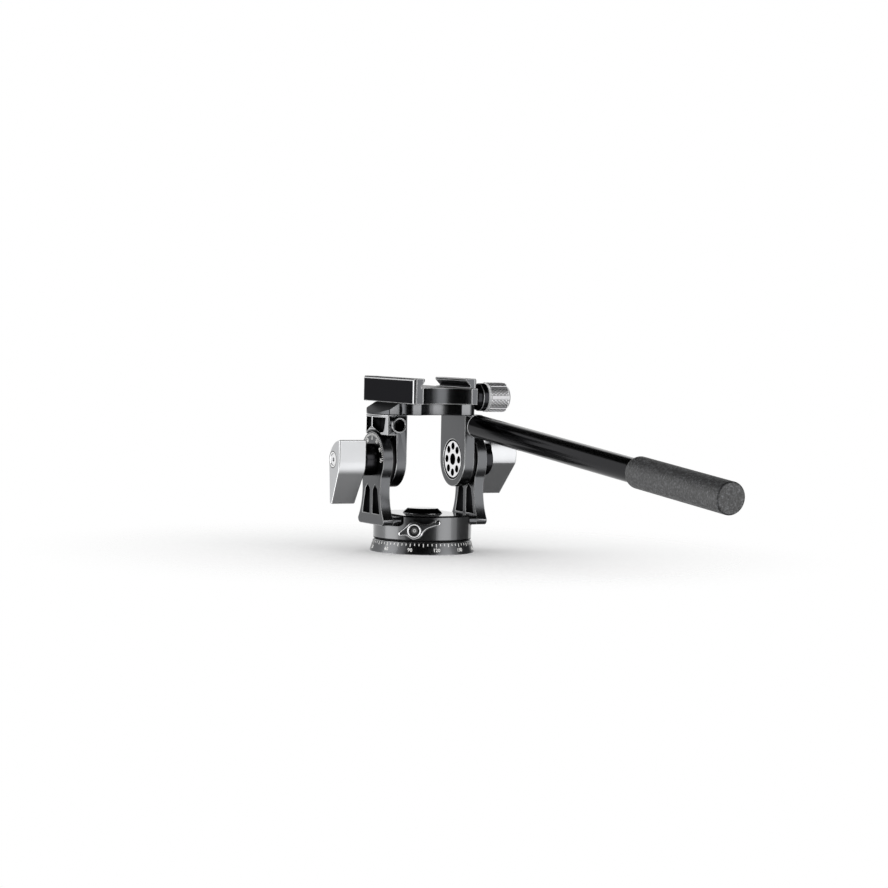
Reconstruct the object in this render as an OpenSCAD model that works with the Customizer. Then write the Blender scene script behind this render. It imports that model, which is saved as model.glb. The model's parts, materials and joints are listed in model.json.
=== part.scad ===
// Two-way pan and tilt head: a panning base with a dial, two uprights that carry
// a tilting yoke, a dovetail clamp on top of the yoke and a long pan handle.
// Millimetres, +Z up, origin at the centre of the base's underside.
// +X is the tilt axis towards the handle, +Y is forward.

/* [Pan base] */
// Diameter of the dial ring at the underside
base_d = 60; // [56:0.5:66]
// Narrowing of the dial ring towards its upper edge, on each side
dial_flare = 1.8; // [1:0.1:2.5]
// Height of the dial ring
base_h = 7; // [6:0.5:12]
// Height of the upright rim below the dial's slope
base_rim_h = 1; // [0.6:0.1:2]
// Nominal diameter of the tripod thread
thread_d = 9.525; // [6.35:0.005:12]
// Depth of the tripod thread
thread_depth = 7.3; // [5:0.1:7.4]
// Diameter of the spindle that the drum turns on
spindle_d = 24; // [20:0.5:28]
// Height of the spindle above the dial ring
spindle_h = 8.6; // [7:0.1:9]
// Diameter of the spindle's neck through the drum's web
neck_d = 12; // [10:0.5:14]
// Thickness of the thrust washer under the drum
thrust_t = 0.4; // [0.3:0.1:1]
// Distance of the thrust washer from the dial ring's upper edge
thrust_inset = 1.5; // [1:0.1:4]

/* [Pan drum] */
// Distance that the drum stands proud of the dial ring's upper edge
drum_proud = 0.1; // [0:0.05:0.5]
// Height of the drum
drum_h = 14.6; // [14:0.1:18]
// Edge chamfer of the drum
drum_chamfer = 0.6; // [0.2:0.1:1.2]
// Thickness of the web that the neck passes through
web_t = 2.5; // [2:0.1:3]
// Diameter of the well under the top cap
well_d = 20; // [18:0.5:22]
// Diameter of the top cap at its foot
cap_d = 23; // [22:0.5:28]
// Diameter of the top cap at its flat top
cap_top_d = 17; // [12:0.5:20]
// Height of the top cap above the drum
cap_h = 3; // [2:0.2:5]
// Length of the cap's plug in the well
cap_plug_h = 1.8; // [1:0.1:2]

/* [Pan lock] */
// Place of the lock lever, turned from straight back towards the left
lever_az = 34; // [28:1:36]
// Height of the lock lever's axis
lever_z = 13.9; // [12.5:0.1:14]
// Slope of the lever's long arm at rest
lever_slope = 19.5; // [0:0.5:30]
// Slope of the lever's short arm at rest
lever_short_slope = 14.5; // [0:0.5:30]
// Length of the lever's long arm, to the centre of its tip
lever_long = 13.8; // [11:0.2:18]
// Length of the lever's short arm, to the centre of its tip
lever_short = 7.9; // [7.5:0.1:11]
// Radius of the lever's hub
lever_hub_r = 5.1; // [4.6:0.1:5.6]
// Radius of the long arm's rounded tip
lever_tip_r = 1.8; // [1.5:0.1:2.2]
// Half width of the long arm's waist
lever_waist_r = 1.4; // [1:0.1:1.5]
// Radius of the short arm's rounded tip
lever_short_tip_r = 1.5; // [1.2:0.1:2]
// Radius of the hollows where the long arm leaves the hub
lever_hollow_r = 8; // [5:0.5:9]
// Radius of the hollow where the short arm leaves the hub
lever_short_hollow_r = 4; // [2:0.5:4]
// Thickness of the lever's blade
lever_t = 2.8; // [2:0.1:4]
// Diameter of the lock stud
lock_stud_d = 6; // [5:0.5:6.5]
// Length of the brake shoe
shoe_len = 4.2; // [3:0.1:5]

/* [Uprights] */
// Distance of an upright's inner face from the drum's edge
upright_inset = 1.5; // [0.5:0.1:2.3]
// Thickness of an upright
upright_t = 6.2; // [5:0.1:9]
// Height of the tilt axis
tilt_z = 53; // [50:0.5:70]
// Radius of an upright's boss about the tilt axis
boss_r = 16; // [15:0.2:17]
// Half width of an upright at its waist
waist_w = 12; // [10:0.2:13]
// Height of the waist
waist_z = 36; // [35:0.5:38]
// Half width of an upright's foot
foot_w = 17.4; // [16:0.2:18]
// Corner radius of the foot
foot_corner_r = 3; // [1:0.2:4]
// Distance from the drum's edge to the step in it that a foot stands in
step_inset = 7.1; // [6:0.1:8]
// Depth of that step below the drum's top
step_depth = 6; // [5:0.1:7]
// Fillet of that step
step_fillet = 2.4; // [1:0.1:3]
// Thickness of the foot's flange
flange_t = 5; // [4:0.1:6]
// Width of the web between an upright's two slots
slot_web = 3.8; // [3:0.1:6]
// Margin outside the slots
slot_margin = 4; // [3:0.1:5]
// Height of the slots' lower edge
slot_z0 = 22.4; // [21.5:0.1:24]
// Height of the slots' shoulders
slot_z1 = 36.2; // [32:0.1:36.5]
// Rise of the slots' pointed tops above the shoulders
slot_peak = 2.6; // [1:0.1:3]
// Nominal diameter of the foot screws, which come up through the drum
foot_screw_d = 3; // [2.5:0.1:3]
// Length of the foot screws' hold in the flange
foot_screw_bite = 3.4; // [2:0.1:3.6]
// Half distance between a foot's two screws
foot_screw_y = 5; // [3:0.5:5]

/* [Tilt axle] */
// Diameter of the axle
axle_d = 10; // [8:0.5:11]
// Diameter of the axle's threaded end in the knob
axle_thread_d = 8; // [6:0.5:8]
// Length of that threaded end inside the knob
axle_thread_len = 10; // [6:0.5:11]
// Diameter of the perforated axle nut
axle_nut_d = 21.2; // [19:0.2:22]
// Thickness of the axle nut
axle_nut_t = 2.5; // [2:0.1:3]
// Number of spanner holes in the axle nut
nut_holes = 8; // [4:1:8]
// Diameter of the spanner holes
nut_hole_d = 4.1; // [3:0.1:4.4]
// Diameter of the circle that the spanner holes lie on
nut_circle_d = 15.2; // [14:0.1:15.6]
// Width of the open ring around the axle nut
nut_ring = 0.9; // [0.5:0.1:1.2]
// Diameter of the axle's spigot in the nut
spigot_d = 6.5; // [6:0.1:8]
// Diameter of the friction discs
friction_d = 28; // [22:0.5:30]
// Thickness of the friction discs
friction_t = 2; // [1:0.1:3]
// Wall of the arm bushes
bush_wall = 2; // [1.5:0.1:3]

/* [Yoke] */
// Thickness of an arm
arm_t = 6.4; // [6:0.1:7]
// Half width of an arm
arm_w = 15.8; // [15:0.1:17]
// Height of the arms' tops, where the yoke's top plate sits
arm_top = 79; // [77:0.5:96]
// Distance that the arms' rounded heads stand proud of the uprights
head_proud = 0.5; // [0.2:0.1:2]
// Half width of the arms' heads
head_w = 15; // [14:0.1:17]
// Height of the arms' heads
head_h = 11.7; // [11:0.1:12]
// Radial room between an arm's head and an upright's boss
head_room = 1.5; // [0.6:0.1:2]
// Wall left between the windows in the arms' heads and the handle sockets
window_floor = 1; // [0.5:0.1:1.5]
// Rim around those windows
window_rim = 1.7; // [1.2:0.1:2.2]
// Rim at the windows' outer ends
window_end_rim = 2.2; // [1.5:0.1:3]
// Width of the windows' low foot
window_foot = 2.6; // [1.5:0.1:4]
// Thickness of the yoke's top plate
plate_t = 6.6; // [6:0.1:9]
// Half length of the top plate
plate_y = 22; // [20:0.5:26]
// Half length of the top plate's wide part over the arms' heads
plate_wide_y = 15.5; // [15:0.1:17]
// Distance from the middle to the start of that wide part on the handle's side
plate_handle_y = 6; // [0:0.5:10]
// Half width of the top plate at its ends
plate_end_x = 23.2; // [22:0.1:24]
// Corner radius of the top plate's ends
plate_corner_r = 6; // [3:0.1:6]
// Ledge of the top plate beside the clamp
plate_ledge = 0.6; // [0.2:0.1:2]
// Height of the lip under the plate's sloping sides
plate_lip = 0.9; // [0.5:0.1:2]
// Depth of the scallop in the plate's ends
plate_scallop = 4.5; // [2:0.1:6]
// Nominal diameter of the arm screws
arm_screw_d = 3; // [2.5:0.5:3]
// Length of the arm screws
arm_screw_len = 12; // [10:0.5:13]
// Distance of the arm screws from the arms' inner faces
arm_screw_in = 2.35; // [2:0.05:3]
// Distance of the front arm screws from the middle
arm_screw_front = 9.5; // [8:0.5:12]
// Distance of the back arm screws from the middle
arm_screw_back = 3.5; // [2:0.5:6]

/* [Clamp] */
// Half width of the clamp's outer faces
clamp_x = 23.6; // [22.5:0.1:26]
// Half length of the clamp
clamp_y = 34.5; // [28:0.5:45]
// Height of the clamp above the top plate
clamp_h = 14.5; // [14:0.1:18]
// Width of the dovetail plate that the clamp takes
dovetail_w = 38; // [37:0.1:39]
// Depth of the dovetail groove
groove_h = 5.2; // [5:0.1:6]
// Height of the straight wall at the groove's floor
groove_wall = 1; // [0.8:0.1:1.5]
// Overhang of the groove's lips
lip_reach = 2.8; // [2:0.1:3]
// Distance from the middle to the body's face under the moving jaw
jaw_face_x = 16.5; // [16:0.1:18.5]
// Half length of the moving jaw
jaw_y = 20; // [19:0.5:24]
// Bevel along the jaws' upper outer edges
jaw_bevel = 0.9; // [0.3:0.1:1.5]
// Corner radius of the clamp in plan
clamp_corner_r = 2.2; // [1:0.1:3]
// Depth of the scallop in the clamp's ends
clamp_scallop = 7; // [3:0.1:9]
// Distance of that scallop from the stud's cross line, towards the fixed jaw
clamp_scallop_x = 2.5; // [0:0.1:4]
// Radius of the scallops
scallop_r = 20; // [18:0.5:30]
// Diameter of the clamp's stud
stud_d = 5; // [4:0.5:5]
// Height of the clamp's stud above the top plate
stud_rise = 3.4; // [3.2:0.1:5]
// Diameter of the jaw's guide pins
guide_d = 4; // [3:0.5:5]
// Distance of the guide pins from the stud
guide_y = 16; // [14:0.5:16]
// Nominal diameter of the bolts that hold the clamp
clamp_bolt_d = 6; // [5:0.5:6]
// Distance of those bolts from the middle
clamp_bolt_y = 11.5; // [10:0.5:13]
// Travel of the moving jaw
jaw_travel = 4; // [3:0.5:8]

/* [Clamp knob] */
// Diameter of the clamp knob
cknob_d = 16.8; // [16.6:0.2:18]
// Length of the clamp knob
cknob_len = 14.5; // [10:0.5:20]
// Distance from the middle to the clamp knob's inner end
cknob_x = 37.8; // [36:0.2:44]
// End chamfer of the clamp knob
cknob_chamfer = 2; // [1:0.1:2.5]
// Number of smooth grooves along the clamp knob
cknob_grooves = 8; // [4:1:10]
// Width of those grooves
cknob_groove_w = 1.6; // [1:0.1:2.4]
// Depth of those grooves
cknob_groove_t = 0.5; // [0.3:0.05:0.8]
// Diameter of the knob's neck at the jaw
neck_small_d = 12; // [11:0.5:13]
// Length of that straight foot of the neck
neck_foot_len = 3.7; // [1:0.1:5]
// Diameter of the neck's waist before its rim
neck_waist_d = 14.6; // [13.5:0.1:15]
// Length of that waist
neck_waist_len = 1.8; // [1:0.1:3]
// Diameter of the neck's rim against the knob
neck_rim_d = 16.2; // [15.4:0.2:16.6]
// Length of that rim
neck_rim_len = 3.6; // [2:0.1:5]

/* [Tilt lock knobs] */
// Length of the collars between the uprights and the wing knobs
collar_len = 7.55; // [5:0.05:12]
// Width of a wing knob along the axis
wing_len = 16.7; // [12:0.1:22]
// Near side of a wing knob, from the axis
wing_near = 9; // [8:0.1:10]
// Far side of a wing knob, from the axis
wing_far = 5.4; // [5.2:0.1:7]
// Top of a wing knob, from the axis
wing_top = 11.5; // [10:0.1:13]
// Reach of a wing knob's tail below the axis
wing_tail = 25.3; // [20:0.1:26]
// Far side of the tail, from the axis
tail_far = 3.4; // [2:0.1:5]
// Thickness of the tail
tail_t = 2.8; // [2:0.1:4]
// Height of the bend in the near face, below the axis
wing_bend = 4.6; // [2:0.1:8]
// Length of the rounding on each side of that bend
wing_bend_len = 4; // [2:0.1:6]
// Height of the far side's upper end above the axis
brow_drop = 1.4; // [0.5:0.1:4]
// Slant of the paddle's inner side
wing_slant = 2.3; // [0:0.1:4]
// Diameter of the collars behind the wing knobs
collar_d = 18.4; // [16:0.2:20]
// Lean of the right wing knob at rest
right_lean_angle = 42; // [0:1:60]
// Diameter of the cap screws in the wing knobs
wing_screw_d = 6.4; // [5:0.2:7]
// Depth of the recess that a cap screw lies in
wing_recess = 1.6; // [1:0.1:3]
// Height of a cap screw
wing_screw_t = 1.2; // [0.8:0.1:2]

/* [Handle] */
// Diameter of the handle sockets' bosses
socket_boss_d = 9.2; // [8.6:0.1:10]
// Diameter of the sockets' bores
socket_d = 6.8; // [5:0.1:6.8]
// Depth of the sockets
socket_depth = 9; // [7:0.5:10]
// Distance of a socket's mouth inside the arm's outer face
socket_inset = 0.55; // [0:0.05:1.5]
// Height of a socket's mouth above the tilt axis
socket_rise = 20; // [18:0.1:21]
// Distance of a socket's mouth behind the tilt axis
socket_back = 17.6; // [17:0.1:20]
// Downward slope of the sockets and the handle
handle_drop = 5.4; // [0:0.1:8]
// Outward turn of the sockets and the handle
handle_out = 2; // [0:0.1:4]
// Diameter of the handle's tube
tube_d = 13.4; // [12:0.1:14]
// Wall of the handle's tube
tube_wall = 1.6; // [1:0.1:2.5]
// Length of the ferrule that shows at the handle's root
ferrule_h = 2.6; // [2:0.1:6]
// Length of the ferrule's plug in the tube
ferrule_plug = 22; // [15:0.5:30]
// Distance along the handle to the grip's start
grip_start = 174; // [120:1:260]
// Length of the grip
grip_len = 89; // [80:1:140]
// Diameter of the grip
grip_d = 17.2; // [16.5:0.1:26]
// Rounding of the grip's inner end
grip_round = 4; // [2:0.1:4.5]
// Thickness of the grip's closed end
grip_end_t = 4; // [3:0.5:8]

/* [Fits] */
// Radial clearance of parts that turn or slide in each other
run_gap = 0.05; // [0.02:0.01:0.1]
// Clearance between parts that pass each other
pass_gap = 0.3; // [0.2:0.05:0.5]
// Clearance of screws and pins in their holes
seat_gap = 0.04; // [0.02:0.01:0.1]

/* [Hidden] */
$fn = 96;
eps = 0.01;

// Heights of the pan unit, from the underside up
base_r = base_d / 2;
base_top_r = base_r - dial_flare;
drum_r = base_top_r + drum_proud;
drum_d = 2 * drum_r;
drum_z0 = base_h + thrust_t + run_gap;
drum_top = drum_z0 + drum_h;
spindle_r = spindle_d / 2;
spindle_top = base_h + spindle_h;
pocket_top = spindle_top + pass_gap;
web_top = pocket_top + web_t;
neck_r = neck_d / 2;
neck_top = web_top + run_gap;
well_r = well_d / 2;
washer_t = 1;
retainer_d = 5;
retainer_head_d = 8.5;
retainer_head_h = 1.3;
retainer_len = 7;
socket_share = 0.55;
socket_floor_share = 0.4;
cap_wall = 1.4;
cap_roof = 1.8;

// Pan lock, along a radius of the drum
hub_back_r = drum_r + pass_gap;
hub_boss_h = 0.8;
blade_r0 = hub_back_r + hub_boss_h;
blade_r1 = blade_r0 + lever_t;
hub_rim_h = 0.7;
hub_well_r = 3.05;
hub_rim_w = 0.9;
hub_rim_r = hub_well_r + hub_rim_w;
blend_lap = 0.06;
hub_floor_t = 1.2;
lever_screw_r = 2;
lever_screw_len = 8;
shoe_r0 = spindle_r + pass_gap;
shoe_r1 = shoe_r0 + shoe_len;
arm_steps = 8;
bend_steps = 6;

// Uprights
upright_x = drum_r - upright_inset;
upright_out = upright_x + upright_t;
step_x = drum_r - step_inset;
foot_z = drum_top - step_depth;
flange_x = step_x + pass_gap;
flare_rise = foot_w - waist_w;
flare_drop = waist_z - foot_z - foot_corner_r;
flare_r = (flare_drop * flare_drop + flare_rise * flare_rise) / (2 * flare_rise);
neck_join = 3.2;
foot_screw_x = (flange_x + upright_x) / 2;
foot_screw_len = foot_z - drum_z0 + foot_screw_bite;
screw_head_ratio = 1.9;

// Tilt axle, along +X on the right and mirrored on the left
axle_r = axle_d / 2;
arm_out = upright_x - friction_t - run_gap;
arm_x = arm_out - arm_t;
nut_x0 = arm_x + pass_gap;
nut_x1 = nut_x0 + axle_nut_t;
recess_x = nut_x1 + run_gap;
recess_r = axle_nut_d / 2 + nut_ring;
wing_x = upright_out + run_gap + collar_len;
wing_end = wing_x + wing_len;
hex_socket_r = 2.3;
hex_socket_t = 3;
wing_hex_r = 1.3;
wing_hex_t = 0.8;
collar_edge = 0.6;

// Yoke and clamp
head_z = arm_top - head_h;
head_r = upright_out + head_proud;
head_arc_r = boss_r + head_room;
socket_x = arm_out - socket_inset;
plate_top_x = clamp_x + plate_ledge;
window_x = socket_x + socket_d / 2 + window_floor;
plate_z1 = arm_top + plate_t;
clamp_top = plate_z1 + clamp_h;
floor_z = clamp_top - groove_h;
stud_z = plate_z1 + stud_rise;
groove_x = dovetail_w / 2;
lip_x = groove_x - lip_reach;
lip_z = floor_z + groove_wall + lip_reach;
jaw_in = jaw_face_x + pass_gap;
stud_in = -6;
stud_end_room = 2;
stud_bore_in = stud_in - stud_end_room;
stud_in_knob = 8;
guide_hold = 6;
guide_end_room = 1;
guide_in = jaw_face_x - jaw_travel - guide_hold;
guide_bore_in = guide_in - guide_end_room;
guide_wall = 1;
guide_out = clamp_x - guide_wall;
bolt_head_d = 10;
bolt_head_h = 4;
bolt_reach = 5;
neck_x0 = clamp_x + pass_gap;
cknob_edge = 1;
arm_screw_x = arm_x + arm_screw_in;

// Handle, along its own axis from the socket's mouth
tube_r = tube_d / 2;
tube_end = grip_start + grip_len - grip_end_t;
grip_r = grip_d / 2;
grip_end_round = 1.2;
ferrule_rim = 0.6;
handle_stud_len = 18;

// Shared placements and profiles
module along_x(x0, x1) {
    translate([x0, 0, 0]) rotate([90, 0, 90]) linear_extrude(x1 - x0) children();
}

module along_y(y0, y1) {
    translate([0, y1, 0]) rotate([90, 0, 0]) linear_extrude(y1 - y0) children();
}

module rod_x(x0, x1, r) {
    translate([x0, 0, 0]) rotate([0, 90, 0]) cylinder(h = x1 - x0, r = r);
}

module turn_x(x0) {
    translate([x0, 0, 0]) rotate([0, 90, 0]) rotate_extrude() children();
}

module ring(r_in, r_out, h) {
    difference() {
        cylinder(h = h, r = r_out);
        translate([0, 0, -eps]) cylinder(h = h + 2 * eps, r = r_in);
    }
}

module at_tilt_axis() {
    translate([0, 0, tilt_z]) children();
}

module on_side(side) {
    mirror([side < 0 ? 1 : 0, 0, 0]) children();
}

module round_rect(x0, x1, y0, y1, r) {
    translate([x0 + r, y0]) square([x1 - x0 - 2 * r, y1 - y0]);
    translate([x0, y0 + r]) square([x1 - x0, y1 - y0 - 2 * r]);
    for (x = [x0 + r, x1 - r], y = [y0 + r, y1 - r])
        translate([x, y]) circle(r);
}

// A countersunk screw with its head's top at the origin, pointing down
module flat_screw(d, len) {
    head_r = screw_head_ratio * d / 2;
    difference() {
        rotate_extrude()
            polygon([[0, -len], [d / 2, -len], [d / 2, d / 2 - head_r], [head_r, 0], [0, 0]]);
        translate([0, 0, -d / 2]) cylinder(h = d, r = socket_share * d / 2, $fn = 6);
    }
}

// The hole that such a screw needs
module flat_screw_hole(d, len) {
    head_r = screw_head_ratio * d / 2 + seat_gap;
    shank_r = d / 2 + seat_gap;
    rotate_extrude()
        polygon([[0, -len - pass_gap], [shank_r, -len - pass_gap], [shank_r, shank_r - head_r],
                 [head_r, 0], [head_r, eps], [0, eps]]);
}

// A socket screw with the underside of its head at the origin, pointing down
module cap_screw(d, head_d, head_h, len) {
    difference() {
        union() {
            translate([0, 0, -len]) cylinder(h = len + eps, r = d / 2);
            cylinder(h = head_h, r = head_d / 2);
        }
        translate([0, 0, socket_floor_share * head_h]) cylinder(h = head_h, r = socket_share * d, $fn = 6);
    }
}

// Pan base and what is fixed to it
module pan_base() {
    color("#26282b") difference() {
        rotate_extrude()
            polygon([[0, 0], [base_r, 0], [base_r, base_rim_h], [base_top_r, base_h],
                     [spindle_r, base_h], [spindle_r, spindle_top], [neck_r, spindle_top],
                     [neck_r, neck_top], [0, neck_top]]);
        translate([0, 0, -eps]) cylinder(h = thread_depth + eps, r = thread_d / 2);
        translate([0, 0, neck_top - retainer_len])
            cylinder(h = retainer_len + eps, r = retainer_d / 2 + seat_gap);
    }
}

module thrust_washer() {
    color("#101010") translate([0, 0, base_h])
        ring(spindle_r + pass_gap, base_top_r - thrust_inset, thrust_t);
}

module retaining_washer() {
    color("#b9bbbd") translate([0, 0, neck_top])
        ring(retainer_d / 2 + seat_gap, well_r - 2 * pass_gap, washer_t);
}

module retaining_screw() {
    color("#8a8c8f") translate([0, 0, neck_top + washer_t])
        cap_screw(retainer_d, retainer_head_d, retainer_head_h, retainer_len - 2 * pass_gap);
}

// Pan drum with its side steps, and what turns with it
module step_profile() {
    difference() {
        translate([step_x, foot_z]) square([drum_d, drum_d]);
        difference() {
            translate([step_x - eps, foot_z - eps]) square(step_fillet + eps);
            translate([step_x + step_fillet, foot_z + step_fillet]) circle(step_fillet);
        }
    }
}

module at_lock(r) {
    rotate([0, 0, -lever_az]) translate([0, -r, lever_z]) rotate([90, 0, 0]) children();
}

module foot_screw_places() {
    for (side = [-1, 1], y = [-1, 1])
        translate([side * foot_screw_x, y * foot_screw_y, drum_z0]) rotate([180, 0, 0]) children();
}

module pan_drum() {
    color("#2a2c30") difference() {
        rotate_extrude()
            polygon([[spindle_r + run_gap, drum_z0], [drum_r - drum_chamfer, drum_z0],
                     [drum_r, drum_z0 + drum_chamfer], [drum_r, drum_top - drum_chamfer],
                     [drum_r - drum_chamfer, drum_top], [well_r, drum_top], [well_r, web_top],
                     [neck_r + run_gap, web_top], [neck_r + run_gap, pocket_top],
                     [spindle_r + run_gap, pocket_top]]);
        for (side = [-1, 1])
            on_side(side) along_y(-drum_r, drum_r) step_profile();
        at_lock(spindle_r) cylinder(h = drum_r, r = lock_stud_d / 2 + run_gap);
        foot_screw_places() flat_screw_hole(foot_screw_d, foot_screw_len);
    }
}

module top_cap() {
    plug_r = well_r - seat_gap;
    color("#1a1b1d") translate([0, 0, drum_top])
        rotate_extrude()
            polygon([[plug_r - cap_wall, -cap_plug_h], [plug_r, -cap_plug_h], [plug_r, 0],
                     [cap_d / 2, 0], [cap_top_d / 2, cap_h], [0, cap_h],
                     [0, cap_h - cap_roof], [plug_r - cap_wall, cap_h - cap_roof]]);
}

module brake_shoe() {
    color("#c8a24a") at_lock(shoe_r0)
        cylinder(h = shoe_len, r = lock_stud_d / 2);
}

// Outline of an upright in the plane of the tilt, with its waist and flared foot
module upright_outline() {
    translate([0, tilt_z]) circle(boss_r);
    difference() {
        round_rect(-foot_w, foot_w, foot_z, tilt_z - neck_join, foot_corner_r);
        for (s = [-1, 1])
            translate([s * (waist_w + flare_r), waist_z]) circle(flare_r);
    }
}

module slot_outline() {
    foot_half = waist_w + flare_r - sqrt(flare_r * flare_r - pow(waist_z - slot_z0, 2));
    inner = slot_web / 2;
    outer_low = foot_half - slot_margin;
    outer_high = waist_w - slot_margin;
    polygon([[inner, slot_z0], [outer_low, slot_z0], [outer_high, slot_z1],
             [(inner + outer_high) / 2, slot_z1 + slot_peak], [inner, slot_z1]]);
}

module upright(side) {
    color("#222427") difference() {
        union() {
            on_side(side) difference() {
                along_x(upright_x, upright_out) upright_outline();
                at_tilt_axis() rod_x(upright_x - eps, upright_out + eps, axle_r);
                for (s = [-1, 1])
                    mirror([0, s < 0 ? 1 : 0, 0])
                        along_x(upright_x - eps, upright_out + eps) slot_outline();
            }
            on_side(side) intersection() {
                along_x(flange_x, upright_x + eps)
                    round_rect(-foot_w, foot_w, foot_z, foot_z + flange_t, flange_t / 2 - eps);
                along_y(-foot_w, foot_w) translate([pass_gap, 0]) step_profile();
            }
        }
        foot_screw_places() flat_screw_hole(foot_screw_d, foot_screw_len);
    }
}

module left_upright() { upright(-1); }
module right_upright() { upright(1); }

module foot_screws() {
    color("#3a3c40") foot_screw_places() flat_screw(foot_screw_d, foot_screw_len);
}

// Axles, nuts and friction discs on the tilt axis
module axle(side) {
    color("#a9abad") on_side(side) at_tilt_axis() difference() {
        turn_x(0)
            polygon([[0, nut_x0], [spigot_d / 2, nut_x0], [spigot_d / 2, nut_x1], [axle_r, nut_x1],
                     [axle_r, upright_out], [axle_thread_d / 2, upright_out],
                     [axle_thread_d / 2, wing_x + axle_thread_len], [0, wing_x + axle_thread_len]]);
        translate([nut_x0 - eps, 0, 0]) rotate([0, 90, 0])
            cylinder(h = hex_socket_t, r = hex_socket_r, $fn = 6);
    }
}

module left_axle() { axle(-1); }
module right_axle() { axle(1); }

module axle_nut(side) {
    color("#d6d8da") on_side(side) at_tilt_axis() difference() {
        rod_x(nut_x0, nut_x1, axle_nut_d / 2);
        rod_x(nut_x0 - eps, nut_x1 + eps, spigot_d / 2);
        for (i = [0 : nut_holes - 1])
            rotate([360 * i / nut_holes, 0, 0]) translate([0, 0, nut_circle_d / 2])
                rod_x(nut_x0 - eps, nut_x1 + eps, nut_hole_d / 2);
    }
}

module left_axle_nut() { axle_nut(-1); }
module right_axle_nut() { axle_nut(1); }

module friction_disc(side) {
    color("#0f0f10") on_side(side) at_tilt_axis() difference() {
        rod_x(arm_out + run_gap, upright_x, friction_d / 2);
        rod_x(arm_out, upright_x + eps, axle_r);
    }
}

module left_friction_disc() { friction_disc(-1); }
module right_friction_disc() { friction_disc(1); }

// Pan lock lever: a hub with a long arm that has a hollow on both sides,
// and a short arm that is hollow below and straight above
function hollow_points(bend_r, half_w) =
    let(rise = half_w + bend_r,
        reach = sqrt(pow(lever_hub_r - blend_lap + bend_r, 2) - rise * rise),
        first = 180 + atan2(rise, reach))
    [for (i = [0 : arm_steps])
        let(a = first + (270 - first) * i / arm_steps)
        [reach + bend_r * cos(a), rise + bend_r * sin(a)]];

module long_arm_outline() {
    edge = concat(hollow_points(lever_hollow_r, lever_waist_r), [[lever_long, lever_waist_r]]);
    last = len(edge) - 1;
    polygon(concat(edge, [for (i = [last : -1 : 0]) [edge[i][0], -edge[i][1]]]));
    translate([lever_long, 0]) circle(lever_tip_r);
}

module short_arm_outline() {
    lean = asin((lever_hub_r - lever_short_tip_r) / lever_short);
    tip_w = lever_short_tip_r - blend_lap;
    hub_w = lever_hub_r - blend_lap;
    edge = concat(hollow_points(lever_short_hollow_r, tip_w), [[lever_short, tip_w]]);
    tip_side = [lever_short + tip_w * sin(lean), -tip_w * cos(lean)];
    hub_side = [hub_w * sin(lean), -hub_w * cos(lean)];
    polygon(concat(edge, [tip_side, hub_side]));
    translate([lever_short, 0]) circle(lever_short_tip_r);
}

module lever_outline() {
    circle(lever_hub_r);
    rotate(lever_slope) long_arm_outline();
    rotate(180 + lever_short_slope) short_arm_outline();
}

module pan_lever() {
    well_floor = blade_r0 + hub_floor_t;
    color("#2b2d31") difference() {
        union() {
            at_lock(blade_r0) linear_extrude(lever_t) lever_outline();
            at_lock(hub_back_r) cylinder(h = hub_boss_h + eps, r = hub_rim_r);
            at_lock(blade_r1 - eps) cylinder(h = hub_rim_h + eps, r = hub_rim_r);
        }
        at_lock(well_floor) cylinder(h = lever_t + hub_rim_h, r = hub_well_r);
        at_lock(hub_back_r - eps) cylinder(h = well_floor - hub_back_r + 2 * eps, r = lever_screw_r);
    }
}

module lock_stud() {
    color("#9b9da0") difference() {
        at_lock(shoe_r1) cylinder(h = hub_back_r - shoe_r1, r = lock_stud_d / 2);
        at_lock(hub_back_r - lever_screw_len)
            cylinder(h = lever_screw_len + eps, r = lever_screw_r);
    }
}

module lever_screw() {
    well_floor = blade_r0 + hub_floor_t;
    color("#8f9194") at_lock(well_floor)
        cap_screw(2 * lever_screw_r - 2 * seat_gap, 2 * hub_well_r - 2 * pass_gap,
                  blade_r1 - well_floor, well_floor - hub_back_r + lever_screw_len - pass_gap);
}

// Yoke: a top plate on two arms that hang on the axles
module plate_outline() {
    difference() {
        union() {
            intersection() {
                circle(head_r);
                union() {
                    translate([-head_r, -plate_wide_y])
                        square([head_r + plate_top_x, 2 * plate_wide_y]);
                    translate([0, plate_handle_y])
                        square([head_r, plate_wide_y - plate_handle_y]);
                }
            }
            round_rect(-plate_end_x, plate_end_x, -plate_y, plate_y, plate_corner_r);
        }
        for (s = [-1, 1])
            translate([0, s * (plate_y + scallop_r - plate_scallop)]) circle(scallop_r);
    }
}

module arm_screw_places() {
    for (side = [-1, 1], y = [-arm_screw_back, arm_screw_front])
        translate([side * arm_screw_x, y, plate_z1]) children();
}

module clamp_bolt_places() {
    for (s = [-1, 1])
        translate([0, s * clamp_bolt_y, floor_z - bolt_head_h - pass_gap]) children();
}

module clamp_bolt_hole() {
    bore_r = clamp_bolt_d / 2 + seat_gap;
    translate([0, 0, -clamp_h - plate_t]) cylinder(h = clamp_h + plate_t + eps, r = bore_r);
    cylinder(h = clamp_h, r = bolt_head_d / 2 + pass_gap);
}

module at_socket() {
    translate([socket_x, -socket_back, tilt_z + socket_rise])
        rotate([90 + handle_drop, 0, handle_out]) children();
}

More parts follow.
